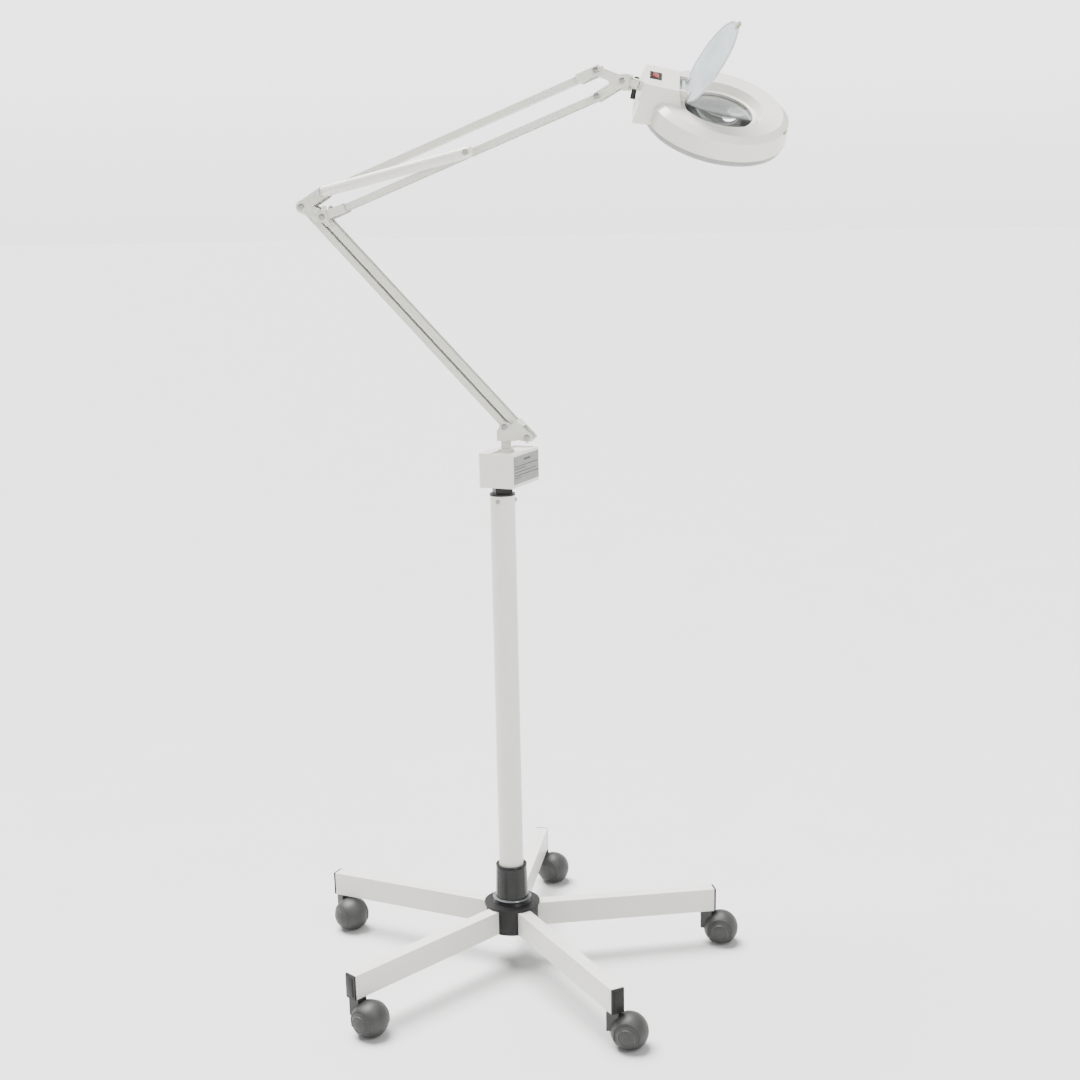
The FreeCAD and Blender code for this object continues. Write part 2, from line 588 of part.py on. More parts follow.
def make_elbow():
    """The L-shaped elbow bracket, its two three-lobed stop plates and its three pins."""
    arms = fuse(strap(ELBOW_REAR, ELBOW_FRONT, "elbow_strap_radius", "cheek_outer"),
                strap(ELBOW_REAR, ELBOW_TOP, "elbow_strap_radius", "cheek_outer"))
    centre = V(ELBOW_REAR[0], 0, ELBOW_REAR[1])
    half, spare = dim("cheek_inner") / 2, 100
    through = str(2 * spare)
    room = block(through, "cheek_inner", through, centre + V(-spare, -half, -spare))
    run = math.dist(ELBOW_REAR, ELBOW_TOP)
    slope = math.degrees(math.atan2(ELBOW_TOP[1] - ELBOW_REAR[1], ELBOW_TOP[0] - ELBOW_REAR[0]))
    turn = FreeCAD.Rotation(Y_AXIS, -slope)
    sheet = 1.4
    web_level = dim("elbow_strap_radius") - sheet
    web_corner = centre + turn.multVec(V(0, -dim("cheek_outer") / 2, web_level))
    web = block(str(run), "cheek_outer", str(sheet), web_corner, turn)
    points = (ELBOW_REAR, ELBOW_FRONT, ELBOW_TOP)
    holes = [cross_pin("pin_radius", through, *point) for point in points]
    finish(cut(fuse(cut(arms, room), web), *holes), "elbow_bracket")

    plates = []
    thick, clear = dim("stop_plate_thickness"), 0.3
    for side in (-1, 1):
        lobes = [strap(ELBOW_FRONT, polar(ELBOW_FRONT, dim("stop_lobe_reach"), angle),
                       "stop_lobe_radius", "stop_plate_thickness") for angle in STOP_LOBES]
        lobes.append(cross_pin("stop_plate_radius", "stop_plate_thickness", *ELBOW_FRONT))
        plate = cut(fuse(*lobes), cross_pin("pin_radius", through, *ELBOW_FRONT))
        plate.Placement.Base = V(0, side * (dim("fork_outer") / 2 + clear + thick / 2), 0)
        plates.append(plate)
    group = unique("Part::Compound", "StopPlates")
    group.Links = plates
    finish(group, "stop_plates")
    pins = unique("Part::Compound", "ElbowPins")
    plain, wide = dim("cheek_outer") / 2 + clear, dim("fork_outer") / 2 + thick + 2 * clear
    solids = []
    for point, near in ((ELBOW_REAR, plain), (ELBOW_FRONT, wide)):
        shaft = cylinder("pin_radius", str(2 * near), V(point[0], -near, point[1]), Y_AXIS)
        heads = [cylinder("pin_head_radius", "pin_head_height", V(point[0], side * near, point[1]),
                          Y_AXIS * side) for side in (-1, 1)]
        solids.append(fuse(shaft, *heads))
    solids.append(make_rod_pin(plain))
    pins.Links = solids
    finish(pins, "elbow_pins")


def make_rod_pin(plain):
    """The elbow's top pin: it goes on through a spacer to carry the spring rod's eye."""
    x, z = ELBOW_TOP
    clear, clip_thickness = 0.3, "1.2"
    eye_outside = dim("tube_offset") + dim("eye_width") / 2 + clear
    eye_inside = dim("tube_offset") - dim("eye_width") / 2 - clear
    shaft = cylinder("pin_radius", str(eye_outside + plain), V(x, -eye_outside, z), Y_AXIS)
    spacer = cylinder("spacer_radius", str(eye_inside - plain), V(x, -eye_inside, z), Y_AXIS)
    clip = cylinder("spacer_radius", clip_thickness, V(x, -eye_outside, z), -Y_AXIS)
    head = cylinder("pin_head_radius", "pin_head_height", V(x, plain, z), Y_AXIS)
    return fuse(shaft, spacer, clip, head)


def make_spring():
    """The spring's slotted cover tube, the sliding rod inside it, and the tube's anchor."""
    run = math.dist(SPRING_ANCHOR, ELBOW_TOP)
    angle = math.degrees(math.atan2(ELBOW_TOP[1] - SPRING_ANCHOR[1], ELBOW_TOP[0] - SPRING_ANCHOR[0]))
    at = FreeCAD.Placement(V(SPRING_ANCHOR[0], -dim("tube_offset"), SPRING_ANCHOR[1]),
                           FreeCAD.Rotation(Y_AXIS, -angle))
    length = run - dim("tube_gap")
    radius, wall, solid_end = dim("tube_radius"), dim("tube_wall"), 9
    heel, chamfer, mouth = 7, 2, 0.6
    body = new_body("SpringTube")
    profile = new_sketch(body, "XY_Plane")
    draw_polygon(profile, [(-heel, 0), (-heel, radius - chamfer), (chamfer - heel, radius),
                           (length - chamfer, radius), (length, radius - mouth),
                           (length, radius - wall), (solid_end, radius - wall), (solid_end, 0)])
    turn = body.newObject("PartDesign::Revolution", "Turn")
    turn.Profile = profile
    turn.ReferenceAxis = (profile, ["H_Axis"])
    turn.Angle = 360
    doc.recompute()
    slot = new_sketch(body, "XZ_Plane")
    half, slot_start = dim("spacer_radius") + 1.5, length - dim("tube_slot")
    draw_polygon(slot, [(slot_start, -half), (length + 1, -half), (length + 1, half), (slot_start, half)])
    add_feature(body, "Pocket", slot, Length="tube_radius")
    boss = new_sketch(body, "XZ_Plane", radius - 2)
    boss.addGeometry(Part.Circle(V(0, 0, 0), Z_AXIS, dim("pin_head_radius") + 0.4), False)
    add_feature(body, "Pad", boss, Length="2.6")
    finish(body, "spring_tube", at)

    rod_start, rod_short = 60, 3
    rod = cylinder("rod_radius", str(run - rod_start - rod_short), V(rod_start, 0, 0), X_AXIS)
    plunger = cylinder("Dimensions.tube_radius - Dimensions.tube_wall - 0.4", "6",
                       V(rod_start, 0, 0), X_AXIS)
    eye = cross_pin("eye_radius", "eye_width", run, 0)
    fit = cell("pin_radius") + " + " + cell("running_fit")
    finish(cut(fuse(rod, plunger, eye), cross_pin(fit, "40", run, 0)), "spring_rod", at)

    side, tube_side = dim("bar_width") / 2, dim("tube_offset") - radius - 0.4
    base = V(SPRING_ANCHOR[0], -side, SPRING_ANCHOR[1])
    finish(cylinder("anchor_radius", str(tube_side - side), base, -Y_AXIS), "tube_anchor")


def make_head_bracket():
    """The Y-shaped pair of cheeks between the upper bars and the knuckle."""
    arms = fuse(strap(WRIST_TOP, KNUCKLE, "cheek_strap_radius", "cheek_outer"),
                strap(WRIST_LOW, KNUCKLE, "cheek_strap_radius", "cheek_outer"),
                cross_pin("knuckle_radius", "cheek_outer", *KNUCKLE))
    half, spare, span = dim("cheek_inner") / 2, 40, "120"
    room = block(span, "cheek_inner", span, V(WRIST_LOW[0] - spare, -half, WRIST_LOW[1] - spare))
    points = (WRIST_TOP, WRIST_LOW)
    fit = cell("pin_radius") + " + " + cell("running_fit")
    through = str(spare)
    holes = [cross_pin("pin_radius", through, *point) for point in points]
    holes.append(cross_pin(fit, through, *KNUCKLE))
    spacer_x = KNUCKLE[0] - dim("cheek_spacer_back")
    spacer = cross_pin("cheek_spacer_radius", "cheek_outer", spacer_x, KNUCKLE[1])
    finish(cut(fuse(cut(arms, room), spacer), *holes), "head_bracket")
    pin_group("head_bracket_pins", points)


def knuckle_placement():
    return FreeCAD.Placement(V(KNUCKLE[0], 0, KNUCKLE[1]), FreeCAD.Rotation(Y_AXIS, dim("knuckle_pitch")))


def make_knuckle():
    """The tilting block between the cheeks, its clamp knob, and the swivel neck."""
    at = knuckle_placement()
    high, inner = dim("knuckle_height"), dim("knuckle_width")
    swivel = dim("yaw_offset")
    lug = cross_pin("Dimensions.knuckle_radius - 1", "knuckle_width", 0, 0)
    body = block("knuckle_nose", "knuckle_width", "knuckle_height", V(0, -inner / 2, -high / 2))
    half, tongue = dim("neck_tongue") / 2, dim("tongue_radius")
    nose = block("yaw_offset", "2 * Dimensions.tongue_radius", "neck_tongue", V(0, -tongue, -half))
    tip = cylinder("tongue_radius", "neck_tongue", V(swivel, 0, -half))
    fit = cell("pin_radius") + " + " + cell("running_fit")
    spare = 30
    through = str(2 * spare)
    yaw_hole = cylinder(fit, through, V(swivel, 0, -spare))
    finish(cut(fuse(lug, body, nose, tip), yaw_hole, cross_pin(fit, through, 0, 0)), "knuckle", at)

    start, shoulder, shoulder_radius = dim("cheek_outer") / 2 + 0.4, 3, "6"
    grip = str(dim("knob_height") - shoulder)
    knob = fuse(cylinder("knob_radius", grip, V(0, start + shoulder, 0), Y_AXIS),
                cylinder(shoulder_radius, str(shoulder), V(0, start, 0), Y_AXIS),
                cylinder("pin_radius", str(2 * start), V(0, -start, 0), Y_AXIS),
                cylinder("pin_head_radius", "pin_head_height", V(0, -start, 0), -Y_AXIS))
    finish(knob, "clamp_knob", at)

    radius = dim("neck_radius")
    inside, collar_size, slot_play = 5.5, 3, 0.3
    reach = dim("head_distance") - dim("housing_back") + inside
    turned_neck = cylinder("neck_radius", str(reach + tongue), V(-tongue, 0, 0), X_AXIS)
    wide = radius + 2
    fork_end = cylinder("tongue_radius", str(2 * wide), V(0, 0, -wide))
    rest_of_neck = block(str(reach), str(2 * wide), str(2 * wide), V(0, -wide, -wide))
    rounded_neck = common(turned_neck, fuse(fork_end, rest_of_neck))
    collar = cylinder(str(radius + collar_size), str(collar_size), V(reach - collar_size, 0, 0), X_AXIS)
    slot = block(str(2 * tongue + 1), through, str(dim("neck_tongue") + 2 * slot_play),
                 V(-tongue - 0.2, -spare, -half - slot_play))
    pin_hole = cylinder("pin_radius", through, V(0, 0, -spare))
    neck = cut(fuse(rounded_neck, collar), slot, pin_hole)
    finish(neck, "swivel_neck", neck_frame())

    pin = cylinder("pin_radius", "2 * Dimensions.neck_radius + 1", V(0, 0, -radius - 0.5))
    barrel = cylinder("barrel_radius", "barrel_length", V(0, 0, -radius - dim("barrel_length")))
    cap = cylinder("barrel_radius", "1.6", V(0, 0, radius))
    finish(fuse(pin, barrel, cap), "yaw_pin", neck_frame())


def neck_frame():
    """The yaw joint's frame: Z along its pin, X towards the head."""
    at = knuckle_placement()
    origin = at.multVec(V(dim("yaw_offset"), 0, 0))
    return FreeCAD.Placement(origin, at.Rotation * FreeCAD.Rotation(Z_AXIS, dim("head_yaw")))


# ---------------------------------------------------------------- lamp head

def head_frame():
    """The head's frame: the shade's axis is Z, the neck comes in from -X."""
    neck = neck_frame()
    turn = neck.Rotation * FreeCAD.Rotation(X_AXIS, dim("head_roll"))
    origin = neck.multVec(V(dim("head_distance"), 0, 0)) + turn.multVec(V(0, 0, -dim("head_drop")))
    return FreeCAD.Placement(origin, turn)


def housing_sketch(body, level, inset):
    """One cross-section of the switch housing at a height above the shade's upper edge."""
    bottom, top = -dim("housing_floor"), dim("housing_top")
    share = (level - bottom) / (top - bottom)
    blend = [dim(a) + (dim(b) - dim(a)) * share for a, b in (
        ("flare_back", "housing_back"), ("flare_front", "housing_front"),
        ("flare_back_half", "housing_half"), ("flare_front_half", "housing_half"))]
    back, front, back_half, front_half = blend
    sketch = new_sketch(body, "XY_Plane", level)
    draw_polygon(sketch, [(-back + inset, -back_half + inset), (-front - inset, -front_half + inset),
                          (-front - inset, front_half - inset), (-back + inset, back_half - inset)])
    return sketch


def loft(body, kind, first, second):
    feature = body.newObject("PartDesign::" + kind, kind)
    feature.Profile = first
    feature.Sections = [second]
    feature.Ruled = True
    doc.recompute()
    return feature


def make_head_shell():
    """The moulded shade and switch housing in one piece, with the hinge's two ears."""
    wall, depth = dim("shade_wall"), dim("shade_height")
    top, foot = dim("shade_top_radius"), dim("shade_foot_radius")
    bevel, rise = dim("bevel_radius"), dim("bevel_rise")
    opening, opening_rise, seat = dim("opening_radius"), dim("opening_rise"), dim("seat_radius")
    seat_depth, view, lip = dim("seat_depth"), dim("view_radius"), dim("lip_thickness")
    rest = dim("lens_radius") + 0.6
    body = new_body("HeadShell")
    ring = new_sketch(body, "XZ_Plane")
    draw_polygon(ring, [(view, -seat_depth), (seat, -seat_depth), (opening, opening_rise), (bevel, rise),
                        (top, 0), (foot, -depth), (rest, -depth), (rest, -seat_depth - lip),
                        (view, -seat_depth - lip)])
    revolve(body, ring)
    loft(body, "AdditiveLoft", housing_sketch(body, -dim("housing_floor"), 0),
         housing_sketch(body, dim("housing_top"), 0))
    well = new_sketch(body, "XZ_Plane")
    draw_polygon(well, [(0, -40), (rest, -40), (rest, -seat_depth - lip), (view, -seat_depth - lip),
                        (view, -seat_depth), (seat, -seat_depth), (opening, opening_rise),
                        (opening + 1.5, opening_rise + 0.1), (opening + 1.5, 60), (0, 60)])
    revolve(body, well, "Groove")
    lamp_room = new_sketch(body, "XZ_Plane")
    draw_polygon(lamp_room, [(rest + wall, -40), (rest + wall, -seat_depth - lip - wall),
                             (seat + wall, -seat_depth - lip), (opening + wall, opening_rise - wall),
                             (bevel, rise - wall), (top - wall, -wall), (foot - wall, -depth),
                             (foot - wall, -40)])
    revolve(body, lamp_room, "Groove")
    inset = dim("housing_wall")
    loft(body, "SubtractiveLoft", housing_sketch(body, inset - dim("housing_floor"), inset),
         housing_sketch(body, dim("housing_top") - inset, inset))
    skirt = new_sketch(body, "XZ_Plane")
    draw_polygon(skirt, [(rest, -depth), (rest + wall, -depth), (rest + wall, -seat_depth - lip),
                         (rest, -seat_depth - lip)])
    revolve(body, skirt)
    crown = new_sketch(body, "XZ_Plane")
    draw_polygon(crown, [(seat, -seat_depth), (opening, opening_rise), (opening + 18, opening_rise + 1.1),
                         (opening + 18, opening_rise + 1.1 - wall), (opening + wall, opening_rise - wall),
                         (seat + wall, -seat_depth - wall)])
    revolve(body, crown)
    ears = new_sketch(body, "XZ_Plane")
    hinge_x, hinge_z, ear = -dim("hinge_x"), dim("hinge_z"), dim("ear_radius")
    wall_x = -dim("housing_front") + 1.5
    draw_polygon(ears, [(wall_x, hinge_z + ear), (hinge_x + 2, hinge_z + ear), (hinge_x + ear, hinge_z + 2),
                        (hinge_x + ear, hinge_z - 2), (hinge_x + 2, hinge_z - ear),
                        (wall_x, hinge_z - ear - 2)])
    add_feature(body, "Pad", ears, Length="Dimensions.ear_gap + 2 * Dimensions.ear_thickness").Midplane = True
    doc.recompute()
    between = new_sketch(body, "XZ_Plane")
    tilt = (dim("housing_front") - dim("flare_front")) / (dim("housing_top") + dim("housing_floor"))
    low, high = hinge_z - ear - 2.5, hinge_z + ear + 1
    wall_low = -dim("housing_front") + tilt * (dim("housing_top") - low)
    wall_high = -dim("housing_front") + tilt * (dim("housing_top") - high)
    draw_polygon(between, [(wall_low, low), (wall_high, high), (hinge_x + 20, high), (hinge_x + 20, low)])
    add_feature(body, "Pocket", between, Length="ear_gap").Midplane = True
    doc.recompute()
    pin_hole = new_sketch(body, "XZ_Plane")
    pin_hole.addGeometry(Part.Circle(V(hinge_x, hinge_z, 0), Z_AXIS, dim("hinge_pin_radius")), False)
    add_feature(body, "Pocket", pin_hole, Length="Dimensions.ear_gap + 20").Midplane = True
    doc.recompute()
    window = new_sketch(body, "XY_Plane", dim("housing_top") + 1)
    x, half_x, half_y = -dim("rocker_x"), dim("rocker_length") / 2 + 0.3, dim("rocker_width") / 2 + 0.3
    draw_polygon(window, [(x - half_x, -half_y), (x + half_x, -half_y),
                          (x + half_x, half_y), (x - half_x, half_y)])
    add_feature(body, "Pocket", window, Length="Dimensions.housing_wall + 3")
    neck_hole = new_sketch(body, "YZ_Plane", -dim("housing_back") - 12)
    radius = dim("neck_radius") + dim("running_fit")
    neck_hole.addGeometry(Part.Circle(V(0, dim("head_drop"), 0), Z_AXIS, radius), False)
    entry = add_feature(body, "Pocket", neck_hole, Length="14")
    entry.Reversed = True
    finish(body, "head_shell", head_frame())


def make_optics():
    """Lens, retaining ring, circular lamp and the diffuser under it."""
    at = head_frame()
    seat = -dim("seat_depth") - dim("lip_thickness")
    radius, edge, sag = dim("lens_radius"), dim("lens_edge"), dim("lens_sag")
    body = new_body("Lens")
    sketch = new_sketch(body, "XZ_Plane")
    dome = dim("view_radius") - 0.4
    curve = (dome ** 2 + sag ** 2) / (2 * sag)
    middle = math.asin(dome / curve) / 2
    half_x, half_drop = curve * math.sin(middle), curve * (1 - math.cos(middle))
    low = seat - edge
    upper = Part.Arc(V(0, seat + sag, 0), V(half_x, seat + sag - half_drop, 0), V(dome, seat, 0))
    lower = Part.Arc(V(dome, low, 0), V(half_x, low - sag + half_drop, 0), V(0, low - sag, 0))
    rim = [V(dome, seat, 0), V(radius, seat, 0), V(radius, low, 0), V(dome, low, 0)]
    sides = [Part.LineSegment(first, second) for first, second in zip(rim, rim[1:])]
    for line in [upper] + sides + [lower, Part.LineSegment(V(0, low - sag, 0), V(0, seat + sag, 0))]:
        sketch.addGeometry(line, False)
    revolve(body, sketch)
    finish(body, "lens", at)

    view, outer = dim("view_radius"), dim("seat_radius") - 0.4
    top = -dim("seat_depth")
    finish(turned("LensRing", [(view - 0.6, top), (outer, top), (outer, top + 1.2), (outer - 2, top + 2.2),
                               (view - 0.6, top + 1.2)]), "lens_ring", at)

    torus = bind(unique("Part::Torus", "Tube"), Radius1="lamp_ring_radius", Radius2="lamp_tube_radius")
    lamp_at = head_frame()
    lamp_at.Base = lamp_at.multVec(V(0, 0, -dim("lamp_level")))
    finish(torus, "ring_lamp", lamp_at)

    rim, deep, inner = dim("diffuser_radius"), -dim("diffuser_depth"), dim("diffuser_inner")
    start = -dim("shade_height") + 3.5
    skin = 1.8
    finish(turned("Diffuser", [(rim, start), (rim, deep + 3), (rim - 3, deep), (inner + 2, deep),
                               (inner, deep + 2), (inner, start), (inner + skin, start),
                               (inner + skin, deep + skin + 1), (rim - 3, deep + skin),
                               (rim - skin, deep + 3.6), (rim - skin, start)]), "diffuser", at)


def make_cover():
    """The flip cover in its raised rest position, its tab and the hinge pin."""
    at = head_frame()
    hinge = V(-dim("hinge_x"), 0, dim("hinge_z"))
    level, thickness = dim("flip_level") - hinge.z, dim("flip_thickness")
    reach = dim("flip_reach")
    disc = cylinder("flip_radius", "flip_thickness", V(reach, 0, level))
    slots = []
    gap, ear, play = dim("ear_gap"), dim("ear_thickness"), 1
    slot_long, slot_deep = 18, 20
    for side in (-1, 1):
        inner = min(side * gap / 2, side * (gap / 2 + ear))
        slots.append(block(str(slot_long), str(ear + 2 * play), str(slot_deep),
                           V(-slot_long / 2, inner - play, level - play)))
    width, edge = gap - play, (play - gap) / 2
    root, long_root, thin_root = -2, 6, 4
    tongue = block(str(long_root), str(width), str(thickness), V(root, edge, level))
    web = block(str(thin_root), str(width), str(-level), V(root, edge, level))
    barrel = cross_pin("hinge_barrel_radius", str(width), 0, 0)
    behind, across = 20, 80
    heel = block(str(behind), str(across), str(behind), V(-behind, -across / 2, level - play))
    bore = cross_pin("Dimensions.hinge_pin_radius + Dimensions.running_fit", str(across), 0, 0)
    opened = FreeCAD.Rotation(Y_AXIS, -dim("flip_angle"))
    cover_at = FreeCAD.Placement(at.multVec(hinge), at.Rotation * opened)
    finish(cut(fuse(cut(disc, heel, *slots), tongue, web, barrel), bore), "flip_cover", cover_at)

    tab_size, overlap, proud = 9, 3, 1.5
    tab = block(str(tab_size), str(tab_size), str(thickness + proud),
                V(reach + dim("flip_radius") - overlap, -tab_size / 2, level))
    lip = cut(tab, cylinder("flip_radius", "flip_thickness", V(reach, 0, level)))
    finish(lip, "cover_tab", cover_at)
    pin_at = FreeCAD.Placement(at.multVec(hinge), at.Rotation)
    finish(cross_pin("hinge_pin_radius", str(gap + 2 * ear), 0, 0), "hinge_pin")
    centred = NODES[-1].Placement
    NODES[-1].Placement = pin_at.multiply(centred)


def make_switch():
    """The rocker switch in its frame on top of the housing."""
    x, top = -dim("rocker_x"), dim("housing_top")
    long, wide, high = dim("rocker_length"), dim("rocker_width"), dim("rocker_height")
    lip, flange, floor, gap = 1.5, 1, 3, 0.8
    outer = block(str(long + 2 * lip), str(wide + 2 * lip), str(flange),
                  V(-long / 2 - lip, -wide / 2 - lip, top))
    body = block("rocker_length", "rocker_width", str(high), V(-long / 2, -wide / 2, top - high + flange))
    room = block(str(long - 2 * lip), str(wide - 2 * lip), str(high),
                 V(-long / 2 + lip, -wide / 2 + lip, top - high + floor))
    frame_at = head_frame()
    frame_at.Base = frame_at.multVec(V(x, 0, 0))
    finish(cut(fuse(outer, body), room), "rocker_frame", frame_at)

    half = long / 2 - lip - gap
    key = new_body("Rocker")
    sketch = new_sketch(key, "XZ_Plane")
    tall, tilt, dip = 3, 1.2, 0.6
    draw_polygon(sketch, [(-half, 0), (half, 0), (half, tall - tilt), (0, tall - dip), (-half, tall + tilt)])
    key_width, stub = wide - 2 * (lip + gap), 0.5
    add_feature(key, "Pad", sketch, Length=str(key_width)).Midplane = True
    pivot = new_sketch(key, "XZ_Plane")
    pivot_at = V(0, dim("rocker_axis") - top + gap, 0)
    pivot.addGeometry(Part.Circle(pivot_at, Z_AXIS, dim("rocker_pivot")), False)
    add_feature(key, "Pad", pivot, Length=str(key_width + 2 * stub)).Midplane = True
    rocker_at = head_frame()
    rocker_at.Base = rocker_at.multVec(V(x, 0, top - gap))
    finish(key, "rocker", rocker_at)


for number in range(int(dim("leg_count"))):
    make_leg(number)
    make_leg_cap(number)
    make_caster(number)
make_hub()
make_column()
make_ballast_box()
make_shoulder()
make_bar("lower_bar_rear", SHOULDER_REAR, dim("lower_arm_angle"))
make_bar("lower_bar_front", SHOULDER_FRONT, dim("lower_arm_angle"), "fork_reach", web_side=-1)
make_elbow()
make_bar("upper_bar_bottom", ELBOW_FRONT, dim("upper_arm_angle"), "elbow_fork_reach")
make_bar("upper_bar_top", WRIST_TOP, dim("upper_arm_angle") + 180, "fork_reach", web_side=-1)
make_spring()
make_head_bracket()
make_knuckle()
make_head_shell()
make_optics()
make_cover()
make_switch()
doc.recompute()

os.makedirs("parts", exist_ok=True)
failed = [obj.Name for obj in doc.Objects if {"Invalid", "Error"} & set(obj.State)]
if failed:
    raise RuntimeError("failed features: " + ", ".join(failed))
for node in NODES:
    if node.Shape.isNull() or not node.Shape.isValid():
        raise RuntimeError("%s has no valid shape" % node.Label)
for node in NODES:
    node.Shape.exportStep("parts/%s.step" % node.Label)
    print("%-20s solids %d  volume %9.0f" % (node.Label, len(node.Shape.Solids), node.Shape.Volume))
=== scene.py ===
import bpy
import bmesh
import json
import math
from mathutils import Matrix, Vector


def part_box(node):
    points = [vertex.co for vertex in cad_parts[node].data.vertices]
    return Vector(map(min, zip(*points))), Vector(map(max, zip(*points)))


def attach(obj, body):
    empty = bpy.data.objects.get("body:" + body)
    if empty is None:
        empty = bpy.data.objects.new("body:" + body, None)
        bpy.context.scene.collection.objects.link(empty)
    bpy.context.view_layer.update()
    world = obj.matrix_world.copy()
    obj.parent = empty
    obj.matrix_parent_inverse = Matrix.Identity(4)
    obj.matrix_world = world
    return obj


# A floor-standing magnifying lamp: white painted steel stand and sprung arm, dark plastic hub
# and casters, and a glossy white lamp head with a lens under a raised flip cover.  Metres.

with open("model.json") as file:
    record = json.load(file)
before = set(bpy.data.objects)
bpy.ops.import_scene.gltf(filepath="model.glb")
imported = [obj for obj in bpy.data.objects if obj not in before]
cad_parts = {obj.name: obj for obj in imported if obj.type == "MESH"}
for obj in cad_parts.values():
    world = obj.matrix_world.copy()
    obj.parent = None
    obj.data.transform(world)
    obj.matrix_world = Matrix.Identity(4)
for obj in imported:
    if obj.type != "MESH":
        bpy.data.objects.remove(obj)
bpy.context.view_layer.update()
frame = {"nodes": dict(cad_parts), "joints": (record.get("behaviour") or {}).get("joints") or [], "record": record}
X, Y, Z = Vector((1, 0, 0)), Vector((0, 1, 0)), Vector((0, 0, 1))
MM = 0.001
JOINTS = {joint["name"]: joint for joint in frame["joints"]}
BODY_OF = {node: body for body, members in frame["record"]["behaviour"]["bodies"].items()
           for node in members}


def joint_point(name):
    return Vector(JOINTS[name]["pos_m"])


def joint_axis(name):
    return Vector(JOINTS[name]["axis"]).normalized()


def box_centre(node):
    low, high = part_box(node)
    return (Vector(low) + Vector(high)) / 2


# ---------------------------------------------------------------- camera, light and floor

CAMERA_AT = Vector((0.6925, -2.2849, 1.1521))
CAMERA_LOOK = Vector((-0.27097, 0.94273, -0.19454)).normalized()
CAMERA_UP = Vector((-0.03326, 0.19281, 0.98067))
SENSOR_WIDTH, FOCAL_LENGTH = 36, 53.65      # millimetres
LENS_SHIFT = 0.0127                         # share of the picture's width
FAR_CLIP = 300

FLOOR_COLOUR, FLOOR_REACH = (0.55, 0.55, 0.547), 120

# The backdrop's brightness by height: slightly dimmer at the floor's far edge, so that the two
# meet without a line, then full, and dim overhead so that the tops are lit by the sun alone.
GLOW = 3.25
HAZE, HAZE_TOP = 0.84, 0.09
GLOW_TOP = 0.14
SKY, SKY_FROM = 0.22, 0.26

SUN_POWER, SUN_SPREAD = 15, math.radians(40)
SUN_TRAVEL = Vector((0.30, -0.15, -0.94))
WINDOW_AT, WINDOW_AIM = Vector((1.9, -1.4, 2.5)), Vector((0.25, 0, 1.2))
WINDOW_SIZE, WINDOW_POWER = 0.7, 40


def make_camera():
    right = CAMERA_LOOK.cross(CAMERA_UP).normalized()
    up = right.cross(CAMERA_LOOK)
    data = bpy.data.cameras.new("Camera")
    data.sensor_width = SENSOR_WIDTH
    data.lens = FOCAL_LENGTH
    data.shift_x = LENS_SHIFT
    data.clip_end = FAR_CLIP
    camera = bpy.data.objects.new("Camera", data)
    turn = Matrix((right, up, -CAMERA_LOOK)).transposed().to_4x4()
    camera.matrix_world = Matrix.Translation(CAMERA_AT) @ turn
    bpy.context.scene.collection.objects.link(camera)
    bpy.context.scene.camera = camera


def make_floor():
    bm = bmesh.new()
    bmesh.ops.create_grid(bm, x_segments=1, y_segments=1, size=FLOOR_REACH)
    floor = mesh_object("floor", bm)
    floor.data.materials.append(textured("floor_paper", FLOOR_COLOUR, 0.7, 0.006, 4, 0.0))


def make_backdrop():
    world = bpy.data.worlds.new("Studio")
    world.use_nodes = True
    nodes, links = world.node_tree.nodes, world.node_tree.links
    split, ramp = nodes.new("ShaderNodeSeparateXYZ"), nodes.new("ShaderNodeValToRGB")
    stops = ramp.color_ramp.elements
    stops.new(HAZE_TOP)
    stops.new(GLOW_TOP)
    for stop, (height, level) in zip(stops, ((0, HAZE), (HAZE_TOP, 1), (GLOW_TOP, 1), (SKY_FROM, SKY))):
        stop.position = height
        stop.color = (level, level, level, 1)
    links.new(nodes.new("ShaderNodeTexCoord").outputs["Generated"], split.inputs["Vector"])
    links.new(split.outputs["Z"], ramp.inputs["Fac"])
    links.new(ramp.outputs["Color"], nodes["Background"].inputs["Color"])
    nodes["Background"].inputs["Strength"].default_value = GLOW
    bpy.context.scene.world = world


def make_lights():
    """A broad sun from above and behind, and a window to the right for the highlights."""
    sun = bpy.data.lights.new("Overhead", "SUN")
    sun.energy = SUN_POWER
    sun.angle = SUN_SPREAD
    window = bpy.data.lights.new("Window", "AREA")
    window.shape = "SQUARE"
    window.size = WINDOW_SIZE
    window.energy = WINDOW_POWER
    for light, place, travel in ((sun, Vector(), SUN_TRAVEL), (window, WINDOW_AT, WINDOW_AIM - WINDOW_AT)):
        lamp = bpy.data.objects.new(light.name, light)
        lamp.location = place
        lamp.rotation_euler = travel.to_track_quat("-Z", "Y").to_euler()
        bpy.context.scene.collection.objects.link(lamp)


# ---------------------------------------------------------------- mesh helpers

CREASE = math.radians(35)


def mesh_object(name, bm):
    """A new object whose faces shade smoothly, except across edges sharper than a crease."""
    mesh = bpy.data.meshes.new(name)
    bmesh.ops.recalc_face_normals(bm, faces=bm.faces)
    bm.to_mesh(mesh)
    bm.free()
    obj = bpy.data.objects.new(name, mesh)
    bpy.context.scene.collection.objects.link(obj)
    for polygon in mesh.polygons:
        polygon.use_smooth = True
    mesh.set_sharp_from_angle(angle=CREASE)
    return obj


def basis(axis, origin, side=None):
    """A frame at a point whose Z runs along an axis and whose X leans towards side."""
    z = Vector(axis).normalized()
    side = Vector(side) if side is not None else (X if abs(z.x) < 0.9 else Y)
    x = (side - z * side.dot(z)).normalized()
    y = z.cross(x)
    return Matrix.Translation(Vector(origin)) @ Matrix((x, y, z)).transposed().to_4x4()


